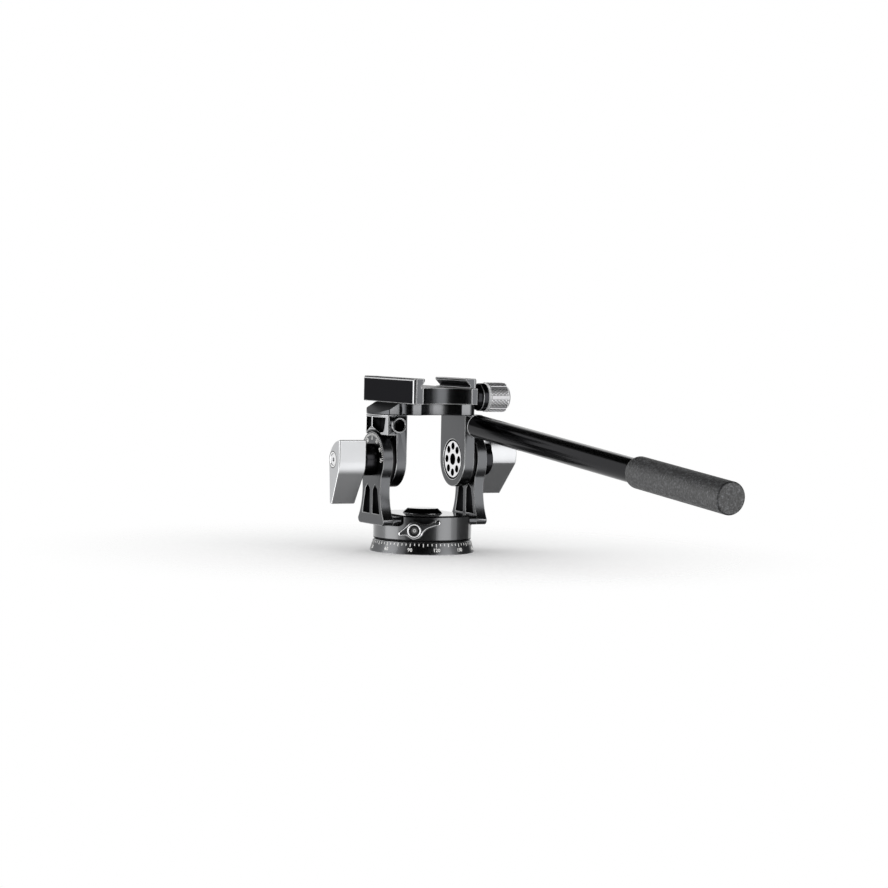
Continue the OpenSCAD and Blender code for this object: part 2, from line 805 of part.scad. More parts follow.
module yoke_plate() {
    color("#26282b") difference() {
        intersection() {
            translate([0, 0, arm_top]) linear_extrude(plate_t) plate_outline();
            along_y(-plate_y, plate_y)
                polygon([[-head_r, arm_top], [head_r, arm_top], [head_r, arm_top + plate_lip],
                         [plate_top_x, plate_z1], [-plate_top_x, plate_z1],
                         [-head_r, arm_top + plate_lip]]);
        }
        arm_screw_places() flat_screw_hole(arm_screw_d, arm_screw_len);
        clamp_bolt_places() clamp_bolt_hole();
        translate([0, 0, stud_z]) rod_x(clamp_x, head_r + eps, neck_waist_d / 2 + pass_gap);
        for (side = [-1, 1])
            on_side(side) at_socket() cylinder(h = plate_y, r = tube_r + pass_gap);
    }
}

module window_outline() {
    inner = window_rim / 2;
    outer = head_w - window_end_rim;
    top = arm_top - window_rim;
    low = head_z + window_rim;
    crown = tilt_z + head_arc_r + window_rim;
    foot = outer - window_rim;
    polygon([[inner, top], [outer, top], [outer - window_rim / 2, low + window_rim],
             [foot, low], [foot - window_foot, low], [inner, crown]]);
}

module arm(side) {
    color("#26282b") difference() {
        on_side(side) difference() {
            union() {
                along_x(arm_x, arm_out) {
                    translate([0, tilt_z]) circle(arm_w);
                    translate([-arm_w, tilt_z]) square([2 * arm_w, arm_top - tilt_z]);
                }
                intersection() {
                    translate([0, 0, head_z]) cylinder(h = head_h, r = head_r);
                    along_x(arm_out - eps, head_r)
                        translate([-head_w, head_z]) square([2 * head_w, head_h]);
                }
                at_socket() translate([0, 0, -socket_depth])
                    cylinder(h = socket_depth, r = socket_boss_d / 2);
            }
            at_tilt_axis() rod_x(arm_x - eps, recess_x, recess_r);
            at_tilt_axis() rod_x(arm_x, arm_out + eps, axle_r + bush_wall);
            at_tilt_axis() rod_x(arm_out, head_r + eps, head_arc_r);
            at_socket() translate([0, 0, -socket_depth])
                cylinder(h = socket_depth + eps, r = socket_d / 2);
            for (s = [-1, 1])
                mirror([0, s < 0 ? 1 : 0, 0])
                    along_x(window_x, head_r + eps) window_outline();
        }
        arm_screw_places() flat_screw_hole(arm_screw_d, arm_screw_len);
    }
}

module left_arm() { arm(-1); }
module right_arm() { arm(1); }

module arm_screws() {
    color("#3a3c40") arm_screw_places() flat_screw(arm_screw_d, arm_screw_len);
}

module bush(side) {
    color("#b08a3e") on_side(side) at_tilt_axis() difference() {
        rod_x(recess_x, arm_out, axle_r + bush_wall);
        rod_x(recess_x - eps, arm_out + eps, axle_r + run_gap);
    }
}

module left_bush() { bush(-1); }
module right_bush() { bush(1); }

// Clamp: a body with a fixed jaw, a sliding jaw and the bolts that hold it
module clamp_outline() {
    difference() {
        round_rect(-clamp_x, clamp_x, -clamp_y, clamp_y, clamp_corner_r);
        for (s = [-1, 1])
            translate([-clamp_scallop_x, s * (clamp_y + scallop_r - clamp_scallop)]) circle(scallop_r);
    }
}

module guide_places() {
    for (s = [-1, 1])
        translate([0, s * guide_y, stud_z]) children();
}

module clamp_body() {
    color("#242629") difference() {
        intersection() {
            translate([0, 0, plate_z1]) linear_extrude(clamp_h) clamp_outline();
            along_y(-clamp_y, clamp_y)
                polygon([[-clamp_x, plate_z1], [jaw_face_x, plate_z1], [jaw_face_x, floor_z],
                         [-groove_x, floor_z], [-groove_x, floor_z + groove_wall],
                         [-lip_x, lip_z], [-lip_x, clamp_top],
                         [jaw_bevel - clamp_x, clamp_top], [-clamp_x, clamp_top - jaw_bevel]]);
        }
        translate([0, 0, stud_z]) rod_x(stud_bore_in, jaw_face_x + eps, stud_d / 2 + run_gap);
        guide_places() rod_x(guide_bore_in, jaw_face_x + eps, guide_d / 2 + run_gap);
        clamp_bolt_places() clamp_bolt_hole();
    }
}

module clamp_bolts() {
    color("#3a3c40") clamp_bolt_places()
        cap_screw(clamp_bolt_d, bolt_head_d, bolt_head_h,
                  floor_z - bolt_head_h - pass_gap - plate_z1 + bolt_reach);
}

module clamp_jaw() {
    color("#242629") difference() {
        intersection() {
            translate([0, 0, plate_z1]) linear_extrude(clamp_h)
                round_rect(-clamp_x, clamp_x, -jaw_y, jaw_y, clamp_corner_r);
            along_y(-jaw_y, jaw_y)
                polygon([[jaw_in, plate_z1 + pass_gap], [clamp_x, plate_z1 + pass_gap],
                         [clamp_x, clamp_top - jaw_bevel], [clamp_x - jaw_bevel, clamp_top],
                         [lip_x, clamp_top], [lip_x, lip_z], [groove_x, floor_z + groove_wall],
                         [groove_x, floor_z + pass_gap], [jaw_in, floor_z + pass_gap]]);
        }
        translate([0, 0, stud_z]) rod_x(jaw_in - eps, clamp_x + eps, stud_d / 2 + run_gap);
        guide_places() rod_x(jaw_in - eps, guide_out, guide_d / 2);
    }
}

module guide_pins() {
    color("#a9abad") guide_places() rod_x(guide_in, guide_out, guide_d / 2);
}

module clamp_stud() {
    color("#a9abad") translate([0, 0, stud_z])
        rod_x(stud_in, cknob_x + stud_in_knob, stud_d / 2);
}

module clamp_neck() {
    span = cknob_x - neck_x0;
    small_r = neck_small_d / 2;
    waist_r = neck_waist_d / 2;
    rim_r = neck_rim_d / 2;
    rim_x = span - neck_rim_len;
    waist_x = rim_x - rim_r + waist_r;
    color("#1a1b1d") translate([0, 0, stud_z]) turn_x(neck_x0)
        polygon([[stud_d / 2, 0], [small_r, 0], [small_r, neck_foot_len],
                 [waist_r, waist_x - neck_waist_len], [waist_r, waist_x], [rim_r, rim_x],
                 [rim_r, span], [stud_d / 2, span]]);
}

module clamp_knob() {
    r = cknob_d / 2;
    color("#c9cbce") translate([0, 0, stud_z]) difference() {
        turn_x(cknob_x)
            polygon([[0, 0], [r - cknob_edge, 0], [r, cknob_edge], [r, cknob_len - cknob_chamfer],
                     [r - cknob_chamfer, cknob_len], [0, cknob_len]]);
        rod_x(cknob_x - eps, cknob_x + stud_in_knob, stud_d / 2);
        for (i = [0 : cknob_grooves - 1])
            rotate([360 * i / cknob_grooves, 0, 0])
                translate([cknob_x + 2 * cknob_edge, -cknob_groove_w / 2, r - cknob_groove_t])
                    cube([cknob_len, cknob_groove_w, r]);
    }
}

// Wing knobs: a flat near face that bends and runs back to a thin tail
function along(a, b, t) = a + (b - a) * t;
function bend_at(a, b, c, t) = along(along(a, b, t), along(b, c, t), t);

module wing_outline() {
    corner = [-wing_near, -wing_bend];
    tail = [tail_far - tail_t, -wing_tail];
    flat_end = corner + [0, wing_bend_len];
    slope_start = corner + wing_bend_len * (tail - corner) / norm(tail - corner);
    bend = [for (i = [0 : bend_steps]) bend_at(flat_end, corner, slope_start, i / bend_steps)];
    brow_y = wing_near + wing_far;
    brow_z = wing_top - brow_drop;
    brow_r = (brow_y * brow_y + brow_z * brow_z) / (2 * brow_z);
    intersection() {
        polygon(concat([[-wing_near, wing_top]], bend,
                       [tail, [tail_far, -wing_tail], [wing_far, 0], [wing_far, wing_top]]));
        translate([-wing_near, wing_top - brow_r]) {
            circle(brow_r);
            translate([0, -2 * wing_tail]) square([brow_r, 2 * wing_tail]);
        }
    }
}

// Both sides carry the same knob, so the right one is the left one turned about Z
module at_wing(side, lean) {
    at_tilt_axis() rotate([lean, 0, 0]) rotate([0, 0, side < 0 ? 180 : 0])
        mirror([0, 1, 0]) children();
}

module wing_knob(side, lean) {
    slant_z = wing_tail - wing_bend;
    color("#c4c6c8") at_wing(side, lean) difference() {
        along_x(wing_x, wing_end) wing_outline();
        along_y(-wing_near - eps, wing_far + eps)
            polygon([[wing_x - eps, -wing_bend], [wing_x + wing_slant, -wing_bend - slant_z - eps],
                     [wing_x - eps, -wing_bend - slant_z - eps]]);
        rod_x(wing_x - eps, wing_x + axle_thread_len + pass_gap, axle_thread_d / 2 + run_gap);
        rod_x(wing_end - wing_recess, wing_end + eps, wing_screw_d / 2);
    }
}

module left_wing_knob() { wing_knob(-1, 0); }
module right_wing_knob() { wing_knob(1, right_lean_angle); }

module collar(side) {
    r = collar_d / 2;
    color("#1a1b1d") on_side(side) at_tilt_axis() turn_x(0)
        polygon([[axle_thread_d / 2 + run_gap, upright_out + run_gap],
                 [r - collar_edge, upright_out + run_gap],
                 [r, upright_out + run_gap + collar_edge], [r, wing_x - collar_edge],
                 [r - collar_edge, wing_x], [axle_thread_d / 2 + run_gap, wing_x]]);
}

module left_collar() { collar(-1); }
module right_collar() { collar(1); }

module wing_screw(side, lean) {
    x0 = wing_end - wing_recess;
    x1 = x0 + wing_screw_t;
    color("#b4b6b8") at_wing(side, lean) difference() {
        rod_x(x0, x1, wing_screw_d / 2 - seat_gap);
        translate([x1 - wing_hex_t, 0, 0]) rotate([0, 90, 0])
            cylinder(h = wing_hex_t + eps, r = wing_hex_r, $fn = 6);
    }
}

module left_wing_screw() { wing_screw(-1, 0); }
module right_wing_screw() { wing_screw(1, right_lean_angle); }

// Handle, screwed into the right arm's socket
module handle_stud() {
    color("#a9abad") at_socket() translate([0, 0, pass_gap - socket_depth])
        cylinder(h = socket_depth + handle_stud_len - pass_gap, r = socket_d / 2 - seat_gap);
}

module handle_ferrule() {
    bore_r = socket_d / 2;
    plug_r = tube_r - tube_wall;
    color("#d6d8da") at_socket() rotate_extrude()
        polygon([[bore_r, 0], [socket_boss_d / 2, 0], [tube_r, ferrule_h - ferrule_rim], [tube_r, ferrule_h],
                 [plug_r, ferrule_h], [plug_r, ferrule_h + ferrule_plug],
                 [bore_r, ferrule_h + ferrule_plug]]);
}

module handle_tube() {
    color("#17181a") at_socket() translate([0, 0, ferrule_h])
        ring(tube_r - tube_wall, tube_r, tube_end - ferrule_h);
}

module handle_grip() {
    grip_end = grip_start + grip_len;
    color("#2c2e31") at_socket() rotate_extrude() difference() {
        union() {
            translate([tube_r, grip_start + grip_round])
                square([grip_r - tube_r, grip_len - grip_round - grip_end_round]);
            translate([0, grip_start + grip_round])
                square([grip_r - grip_end_round, grip_len - grip_round]);
            translate([grip_r - grip_end_round, grip_end - grip_end_round]) circle(grip_end_round);
            intersection() {
                translate([grip_r - grip_round, grip_start + grip_round]) circle(grip_round);
                translate([tube_r, grip_start]) square([grip_r, grip_round + eps]);
            }
        }
        translate([0, grip_start - eps]) square([tube_r, tube_end - grip_start + eps]);
    }
}

pan_base();
thrust_washer();
retaining_washer();
retaining_screw();
pan_drum();
top_cap();
brake_shoe();
left_upright();
right_upright();
foot_screws();
left_axle();
right_axle();
left_axle_nut();
right_axle_nut();
left_friction_disc();
right_friction_disc();
pan_lever();
lock_stud();
lever_screw();
yoke_plate();
left_arm();
right_arm();
arm_screws();
left_bush();
right_bush();
clamp_body();
clamp_bolts();
clamp_jaw();
guide_pins();
clamp_knob();
clamp_stud();
clamp_neck();
left_wing_knob();
left_collar();
left_wing_screw();
right_wing_knob();
right_collar();
right_wing_screw();
handle_stud();
handle_ferrule();
handle_tube();
handle_grip();
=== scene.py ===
import json
import math

import bmesh
import bpy
from mathutils import Matrix, Vector
from mathutils.bvhtree import BVHTree


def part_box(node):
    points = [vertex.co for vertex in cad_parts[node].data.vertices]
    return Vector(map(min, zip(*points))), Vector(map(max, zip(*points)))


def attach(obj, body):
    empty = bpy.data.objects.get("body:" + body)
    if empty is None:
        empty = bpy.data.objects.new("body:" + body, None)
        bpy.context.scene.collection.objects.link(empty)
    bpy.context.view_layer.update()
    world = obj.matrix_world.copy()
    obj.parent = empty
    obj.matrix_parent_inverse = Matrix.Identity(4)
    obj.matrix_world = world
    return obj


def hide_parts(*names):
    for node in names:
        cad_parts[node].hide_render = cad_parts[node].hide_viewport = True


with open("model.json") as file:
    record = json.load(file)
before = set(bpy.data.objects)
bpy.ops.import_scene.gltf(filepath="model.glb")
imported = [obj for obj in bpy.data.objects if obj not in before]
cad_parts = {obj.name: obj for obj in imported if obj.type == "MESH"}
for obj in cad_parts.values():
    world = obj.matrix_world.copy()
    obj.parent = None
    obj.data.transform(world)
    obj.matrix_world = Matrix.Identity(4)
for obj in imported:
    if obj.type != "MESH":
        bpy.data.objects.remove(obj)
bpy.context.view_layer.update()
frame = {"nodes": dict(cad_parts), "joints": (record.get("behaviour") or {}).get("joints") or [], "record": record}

# Places that come from the frame, in metres

MM = 0.001
RECORD = frame["record"]
BODY_OF = {node: body for body, nodes in RECORD["behaviour"]["bodies"].items() for node in nodes}
SLOT_OF = {part["node"]: part["material_slot"] for part in RECORD["subparts"]}
JOINT = {joint["name"]: joint for joint in frame["joints"]}

TILT_Z = JOINT["tilt"]["pos_m"][2]
STUD_Z = JOINT["clamp_turn"]["pos_m"][2]
LOCK_PLACE = Vector(JOINT["pan_lock"]["pos_m"])
LOCK_AXIS = Vector(JOINT["pan_lock"]["axis"])
DIAL_TOP_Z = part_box("thrust_washer")[0].z
DIAL_FOOT_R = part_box("pan_base")[1].x
BOSS_FACE_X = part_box("left_upright")[0].x
BOSS_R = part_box("left_upright")[1].z - TILT_Z

# Pan scale, printed on the dial's slope

DIAL_FLARE = 1.8 * MM
DIAL_RIM = 1.0 * MM
DIAL_SLOPE = math.atan2(DIAL_FLARE, DIAL_TOP_Z - DIAL_RIM)
DIAL_ZERO = math.radians(140.7)
DIAL_TICKS = 72
DIAL_LONG_EVERY = 3
DIAL_NUMBER_STEP = 30
DIAL_EDGE = 0.7 * MM
DIAL_SHORT = 1.3 * MM
DIAL_LONG = 1.9 * MM
DIAL_TICK_W = 0.46 * MM
DIAL_NUMBER_DROP = 4.5 * MM
DIAL_NUMBER_H = 2.0 * MM

# Tilt scale, printed on the left boss, with steps and reach in degrees

TILT_TICK_STEP = 5
TILT_REACH = 90
TILT_LONG_EVERY = 6
TILT_EDGE = 0.9 * MM
TILT_SHORT = 1.3 * MM
TILT_LONG = 2.1 * MM
TILT_TICK_W = 0.42 * MM
TILT_NUMBER_IN = 4.0 * MM
TILT_NUMBER_H = 1.9 * MM

# Print

PRINT_T = 0.06 * MM
FIGURE_CAP = 0.7
FIGURE_BOLD = 0.05 * MM
FIGURE_STEPS = 3

# Knurl of the clamp knob

KNURL_ROWS = 10
KNURL_AROUND = 32
KNURL_H = 0.40 * MM
KNURL_SINK = 0.10 * MM
KNURL_TOP = 0.48
KNURL_FOOT = 0.80
KNURL_MARGIN = 0.9 * MM
KNURL_CHAMFER = 2.0 * MM
BAND_COUNT = 8
BAND_HALF = math.radians(7.0)

# Rounded edges, and the faces that take another finish: painted shade in pockets, recesses and on sides, and
# painted highlights on edges, rims and corners

MERGE = 0.002 * MM
FLAT_ANGLE = math.radians(0.3)
EDGE_ANGLE = math.radians(28)
EDGE_STEPS = 2
EDGE_SLOT = 1
EDGE_WEIGHT = "bevel_weight_edge"
POCKET_LIFT = 0.01 * MM
POCKET_REACH = 23 * MM
POCKET_SPOT = 0.5
UPRIGHT_LIMIT = 0.1
SIDE_LIMIT = 0.995
CORNER_R = 2.4 * MM
CORNER_NEAR_DEGREES = 30
CORNER_FAR_DEGREES = 60
LEVER_RIM_R = 4.1 * MM
LEVER_RIM_ROUND = 0.3
FRAME_LEAN = 0.8
FRAME_DEPTH = 4.0 * MM
WINDOW_DEPTH = 6.0 * MM
END_LEAN = 0.3

# Metal grain, handling marks and tool rings

GRAIN = 3500.0
GRAIN_DETAIL = 3.0
GRAIN_DENT = 0.15
GRAIN_DEPTH = 0.01 * MM
EDGE_GRAIN = 900.0
MARK_SCALE = 55.0
MARK_DETAIL = 4.0
MARK_BREAKUP = 0.6
RING_DEPTH = 0.012 * MM
WOBBLE_SCALE = 900.0
WOBBLE_DETAIL = 2.0
NOISE_BREAKUP = 0.55

NO_TURN = (0.0, 0.0, 0.0)
ALONG_X = (0.0, math.pi / 2, 0.0)
LOCK_TURN = tuple(Vector((0, 0, 1)).rotation_difference(LOCK_AXIS).to_euler())
TILT_CENTRE = (0.0, 0.0, TILT_Z)
PAN_RINGS = ((0.0, 0.0, 0.0), NO_TURN, 0.5 * MM)
TILT_RINGS = (TILT_CENTRE, ALONG_X, 0.7 * MM)
STUD_RINGS = ((0.0, 0.0, STUD_Z), ALONG_X, 0.5 * MM)

# Rings of another tone: inner radius, outer radius and tone. On the lever's screw they are a painted highlight.

SCREW_HIGHLIGHT_RINGS = ((0.0, 2.1 * MM, 0.10), (0.4 * MM, 1.0 * MM, 0.60))
WING_RINGS = ((0.0, 4.4 * MM, 0.85), (4.4 * MM, 4.9 * MM, 0.03))

# Foam of the grip

FOAM_TONE = (0.0085, 0.0088, 0.0095)
FOAM_CELL = 1200.0
FOAM_ROUGHNESS = (0.62, 0.38)
FOAM_SHINE = 0.8
FOAM_DENT = 0.8
FOAM_DEPTH = 0.18 * MM
SPECK_SCALE = 0.7
SPECK_DETAIL = 1.5
SPECK_BREAKUP = 0.6
SPECK_POWER = 5.0
SPECK_TONE = (0.4, 50.0)
DRIFT_SCALE = 40.0
DRIFT_DETAIL = 3.0
DRIFT_TONE = (0.85, 1.15)

# Painted sheen along the upper side of the handle's tube

SHEEN_TONE = 0.40
SHEEN_BLEND = 0.5
SHEEN_GRAZE = (0.64, 0.86)
SHEEN_ABOVE = (0.25, 0.80)

# Point of view

CAMERA_PLACE = Vector((-0.7233, -1.4830, 0.1342))
CAMERA_YAW = math.radians(26.40)
CAMERA_PITCH = math.radians(-2.505)
CAMERA_ROLL = math.radians(1.2)
CAMERA_LENS = 116.3
CAMERA_SENSOR = 36.0
VIEW_AZIMUTH = math.radians(26)

# Studio, with angles in degrees from the front, growing to the right

AMBIENT = 0.85
FLOOR_TONE = (0.96, 0.96, 0.96)
FLOOR_R = 1.6
FLOOR_SIDES = 96
FLOOR_FADE = 0.05
FLOOR_GONE = 0.25
CARD_R = 1.5
CARD_STEPS = 24
CARD_SIDES = 48
CARD_LOW = -1.2
CARD_TOP = 1.7
FRONT_ARC = (-39, 38)
FRONT_LOW = -0.45
FRONT_TOP = 4.5
FRONT_TONE = 0.004
RIGHT_ARC = (88, 138)
RIGHT_TONE = 0.12
LOW_TONE = 0.18
HIGH_CARD = 1.0
HIGH_TONE = 0.02
LAMP_R = 1.4
LAMP_W = 0.95
LAMP_H = 1.8
LEFT_LAMP_ANGLE = -77
LEFT_LAMP_LIGHT = 1.7
RIGHT_LAMP_ANGLE = 52
RIGHT_LAMP_LIGHT = 1.3


# Node tools

def new_group(name, kind, inputs, outputs):
    """An empty node group with its named sockets, and its two end nodes."""
    group = bpy.data.node_groups.new(name, kind)
    for in_out, sockets in (("INPUT", inputs), ("OUTPUT", outputs)):
        for label, socket in sockets.items():
            group.interface.new_socket(label, in_out=in_out, socket_type="NodeSocket" + socket)
    return group, group.nodes.new("NodeGroupInput"), group.nodes.new("NodeGroupOutput")


def add_node(tree, kind, links=None, **settings):
    """A node with its settings, and its inputs linked to sockets or set to values."""
    node = tree.nodes.new(kind)
    for label, value in settings.items():
        setattr(node, label, value)
    for label, value in (links or {}).items():
        socket = node.inputs[label]
        if isinstance(value, bpy.types.NodeSocket):
            tree.links.new(value, socket)
        else:
            socket.default_value = value
    return node


def math_node(tree, operation, first, second=0.0):
    """A maths node whose inputs are sockets or plain numbers."""
    return add_node(tree, "ShaderNodeMath", {0: first, 1: second}, operation=operation).outputs[0]


def vector_node(tree, x=0.0, y=0.0, z=0.0):
    """A vector made of sockets or plain numbers."""
    return add_node(tree, "ShaderNodeCombineXYZ", {"X": x, "Y": y, "Z": z}).outputs[0]


def split_node(tree, vector):
    """The three parts of a vector."""
    return add_node(tree, "ShaderNodeSeparateXYZ", {0: vector}).outputs


def noise_node(tree, vector, scale, detail, breakup=NOISE_BREAKUP):
    """Soft noise from 0 to 1."""
    return add_node(tree, "ShaderNodeTexNoise",
                    {"Vector": vector, "Scale": scale, "Detail": detail,
                     "Roughness": breakup}).outputs["Fac"]


def ranged(tree, value, low, high):
    """Maps 0 to 1 onto low to high, which are sockets or numbers."""
    return add_node(tree, "ShaderNodeMapRange",
                    {"Value": value, "To Min": low, "To Max": high}).outputs["Result"]


def soft_step(tree, value, low, high):
    """A soft step from 0 at low to 1 at high."""
    return add_node(tree, "ShaderNodeMapRange",
                    {"Value": value, "From Min": low, "From Max": high},
                    interpolation_type="SMOOTHSTEP").outputs["Result"]


def scaled_colour(tree, colour, factor):
    """A colour made lighter or darker by a factor."""
    return add_node(tree, "ShaderNodeVectorMath", {0: colour, "Scale": factor},
                    operation="SCALE").outputs[0]


def mixed_colour(tree, amount, first, tone):
    """A colour that goes over into a plain tone."""
    return add_node(tree, "ShaderNodeMix",
                    {"Factor": amount, "A": first, "B": (tone, tone, tone, 1.0)},
                    data_type="RGBA").outputs["Result"]


def object_place(tree):
    """The place on the piece itself."""
    return add_node(tree, "ShaderNodeTexCoord").outputs["Object"]


def about_axis(tree, centre, turn):
    """The place on the piece about an axis through centre, which turn brings onto Z."""
    return add_node(tree, "ShaderNodeMapping",
                    {"Vector": object_place(tree), "Location": centre, "Rotation": turn},
                    vector_type="TEXTURE").outputs["Vector"]


def axis_radius(tree, vector):
    """The distance of a place from the Z axis."""
    parts = split_node(tree, vector)
    squares = [math_node(tree, "POWER", parts[axis], 2.0) for axis in ("X", "Y")]
    return math_node(tree, "SQRT", math_node(tree, "ADD", *squares))


# Shader groups that several finishes share

def build_satin_grain():
    """Blasted and anodised metal: a fine grain in tone and height, with soft handling marks."""
    group, start, end = new_group(
        "satin_grain", "ShaderNodeTree",
        {"Tone": "Color", "Grain": "Float", "Contrast": "Float", "Roughness": "Float",
         "Marks": "Float"},
        {"Color": "Color", "Roughness": "Float", "Height": "Float"})
    look = start.outputs
    where = object_place(group)
    fine = noise_node(group, where, look["Grain"], GRAIN_DETAIL)
    broad = noise_node(group, where, MARK_SCALE, MARK_DETAIL, MARK_BREAKUP)
    low = math_node(group, "SUBTRACT", 1.0, look["Contrast"])
    high = math_node(group, "ADD", 1.0, look["Contrast"])
    colour = scaled_colour(group, look["Tone"], ranged(group, fine, low, high))
    smear = ranged(group, broad, math_node(group, "MULTIPLY", look["Marks"], -1.0), look["Marks"])
    roughness = math_node(group, "ADD", look["Roughness"], smear)
    group.links.new(colour, end.inputs["Color"])
    group.links.new(roughness, end.inputs["Roughness"])
    group.links.new(fine, end.inputs["Height"])
    return group


def build_turned_rings():
    """Fine tool rings about the Z axis of the vector that comes in."""
    group, start, end = new_group("turned_rings", "ShaderNodeTree",
                                  {"Vector": "Vector", "Spacing": "Float"}, {"Height": "Float"})
    where = start.outputs["Vector"]
    turns = math_node(group, "DIVIDE", axis_radius(group, where), start.outputs["Spacing"])
    wave = math_node(group, "SINE", math_node(group, "MULTIPLY", turns, math.tau))
    wobble = noise_node(group, where, WOBBLE_SCALE, WOBBLE_DETAIL)
    height = math_node(group, "MULTIPLY", ranged(group, wave, 0.0, 1.0), wobble)
    group.links.new(height, end.inputs["Height"])
    return group


def build_foam_cells():
    """Closed-cell foam: small pale specks, pits and a slow drift in tone."""
    group, start, end = new_group(
        "foam_cells", "ShaderNodeTree", {"Tone": "Color", "Cell": "Float"},
        {"Color": "Color", "Roughness": "Float", "Height": "Float"})
    where = object_place(group)
    cell = start.outputs["Cell"]
    pits = add_node(group, "ShaderNodeTexVoronoi", {"Vector": where, "Scale": cell})
    specks = noise_node(group, where, math_node(group, "MULTIPLY", cell, SPECK_SCALE),
                        SPECK_DETAIL, SPECK_BREAKUP)
    drift = noise_node(group, where, DRIFT_SCALE, DRIFT_DETAIL)
    speck_tone = ranged(group, math_node(group, "POWER", specks, SPECK_POWER), *SPECK_TONE)
    tone = math_node(group, "MULTIPLY", speck_tone, ranged(group, drift, *DRIFT_TONE))
    colour = scaled_colour(group, start.outputs["Tone"], tone)
    height = math_node(group, "ADD", pits.outputs["Distance"], specks)
    group.links.new(colour, end.inputs["Color"])
    group.links.new(ranged(group, specks, *FOAM_ROUGHNESS), end.inputs["Roughness"])
    group.links.new(height, end.inputs["Height"])
    return group


SATIN_GRAIN = build_satin_grain()
TURNED_RINGS = build_turned_rings()
FOAM_CELLS = build_foam_cells()


# Finishes

def new_material(name):
    """A new material with its node tree and its shader."""
    material = bpy.data.materials.new(name)
    material.use_nodes = True
    return material, material.node_tree, material.node_tree.nodes["Principled BSDF"]


def clothe(tree, shader, skin, height, dent, depth):
    """Links a shared skin's colour and roughness to a shader, and its height as fine bumps."""
    bump = add_node(tree, "ShaderNodeBump", {"Strength": dent, "Distance": depth, "Height": height})
    tree.links.new(skin.outputs["Color"], shader.inputs["Base Color"])
    tree.links.new(skin.outputs["Roughness"], shader.inputs["Roughness"])
    tree.links.new(bump.outputs["Normal"], shader.inputs["Normal"])


def tool_rings(tree, centre, turn, spacing):
    """The height of tool rings about an axis through centre, which turn brings onto Z."""
    return add_node(tree, "ShaderNodeGroup",
                    {"Vector": about_axis(tree, centre, turn), "Spacing": spacing},
                    node_tree=TURNED_RINGS).outputs["Height"]


def satin_metal(name, tone, roughness, metallic=1.0, grain=GRAIN, contrast=0.12, marks=0.05,
                rings=None, coat=0.0, glance=1.0):
    """A metal finish. rings is (centre, turn, spacing) where the piece was turned on a lathe.
    glance is how bright the metal gets where it is seen at a low angle."""
    material, tree, shader = new_material(name)
    shader.inputs["Metallic"].default_value = metallic
    shader.inputs["Coat Weight"].default_value = coat
    shader.inputs["Specular Tint"].default_value = (glance, glance, glance, 1.0)
    skin = add_node(tree, "ShaderNodeGroup",
                    {"Tone": (*tone, 1.0), "Grain": grain, "Contrast": contrast,
                     "Roughness": roughness, "Marks": marks}, node_tree=SATIN_GRAIN)
    height, depth = skin.outputs["Height"], GRAIN_DEPTH
    if rings:
        height, depth = math_node(tree, "ADD", height, tool_rings(tree, *rings)), RING_DEPTH
    clothe(tree, shader, skin, height, GRAIN_DENT, depth)
    return material


def foam(name):
    """The soft black foam of the grip."""
    material, tree, shader = new_material(name)
    shader.inputs["Metallic"].default_value = 0.0
    shader.inputs["Specular IOR Level"].default_value = FOAM_SHINE
    skin = add_node(tree, "ShaderNodeGroup", {"Tone": (*FOAM_TONE, 1.0), "Cell": FOAM_CELL},
                    node_tree=FOAM_CELLS)
    clothe(tree, shader, skin, skin.outputs["Height"], FOAM_DENT, FOAM_DEPTH)
    return material


def base_colour(material):
    """A finish's tree, its colour input and what feeds that input."""
    socket = material.node_tree.nodes["Principled BSDF"].inputs["Base Color"]
    return material.node_tree, socket, socket.links[0].from_socket


def add_toned_rings(material, centre, turn, rows):
    """Adds rings of another tone about an axis. rows are (inner radius, outer radius, tone)."""
    tree, socket, colour = base_colour(material)
    radius = axis_radius(tree, about_axis(tree, centre, turn))
    for inner, outer, tone in rows:
        within = math_node(tree, "MULTIPLY", math_node(tree, "GREATER_THAN", radius, inner),
                           math_node(tree, "LESS_THAN", radius, outer))
        colour = mixed_colour(tree, within, colour, tone)
    tree.links.new(colour, socket)


def add_sheen(material):
    """Paints a sheen into the tube's colour, lighter where its upper side is seen at a low angle."""
    tree, socket, colour = base_colour(material)
    graze = add_node(tree, "ShaderNodeLayerWeight", {"Blend": SHEEN_BLEND})
    normal = add_node(tree, "ShaderNodeNewGeometry").outputs["Normal"]
    amount = math_node(tree, "MULTIPLY",
                       soft_step(tree, graze.outputs["Facing"], *SHEEN_GRAZE),
                       soft_step(tree, split_node(tree, normal)["Z"], *SHEEN_ABOVE))
    tree.links.new(mixed_colour(tree, amount, colour, SHEEN_TONE), socket)


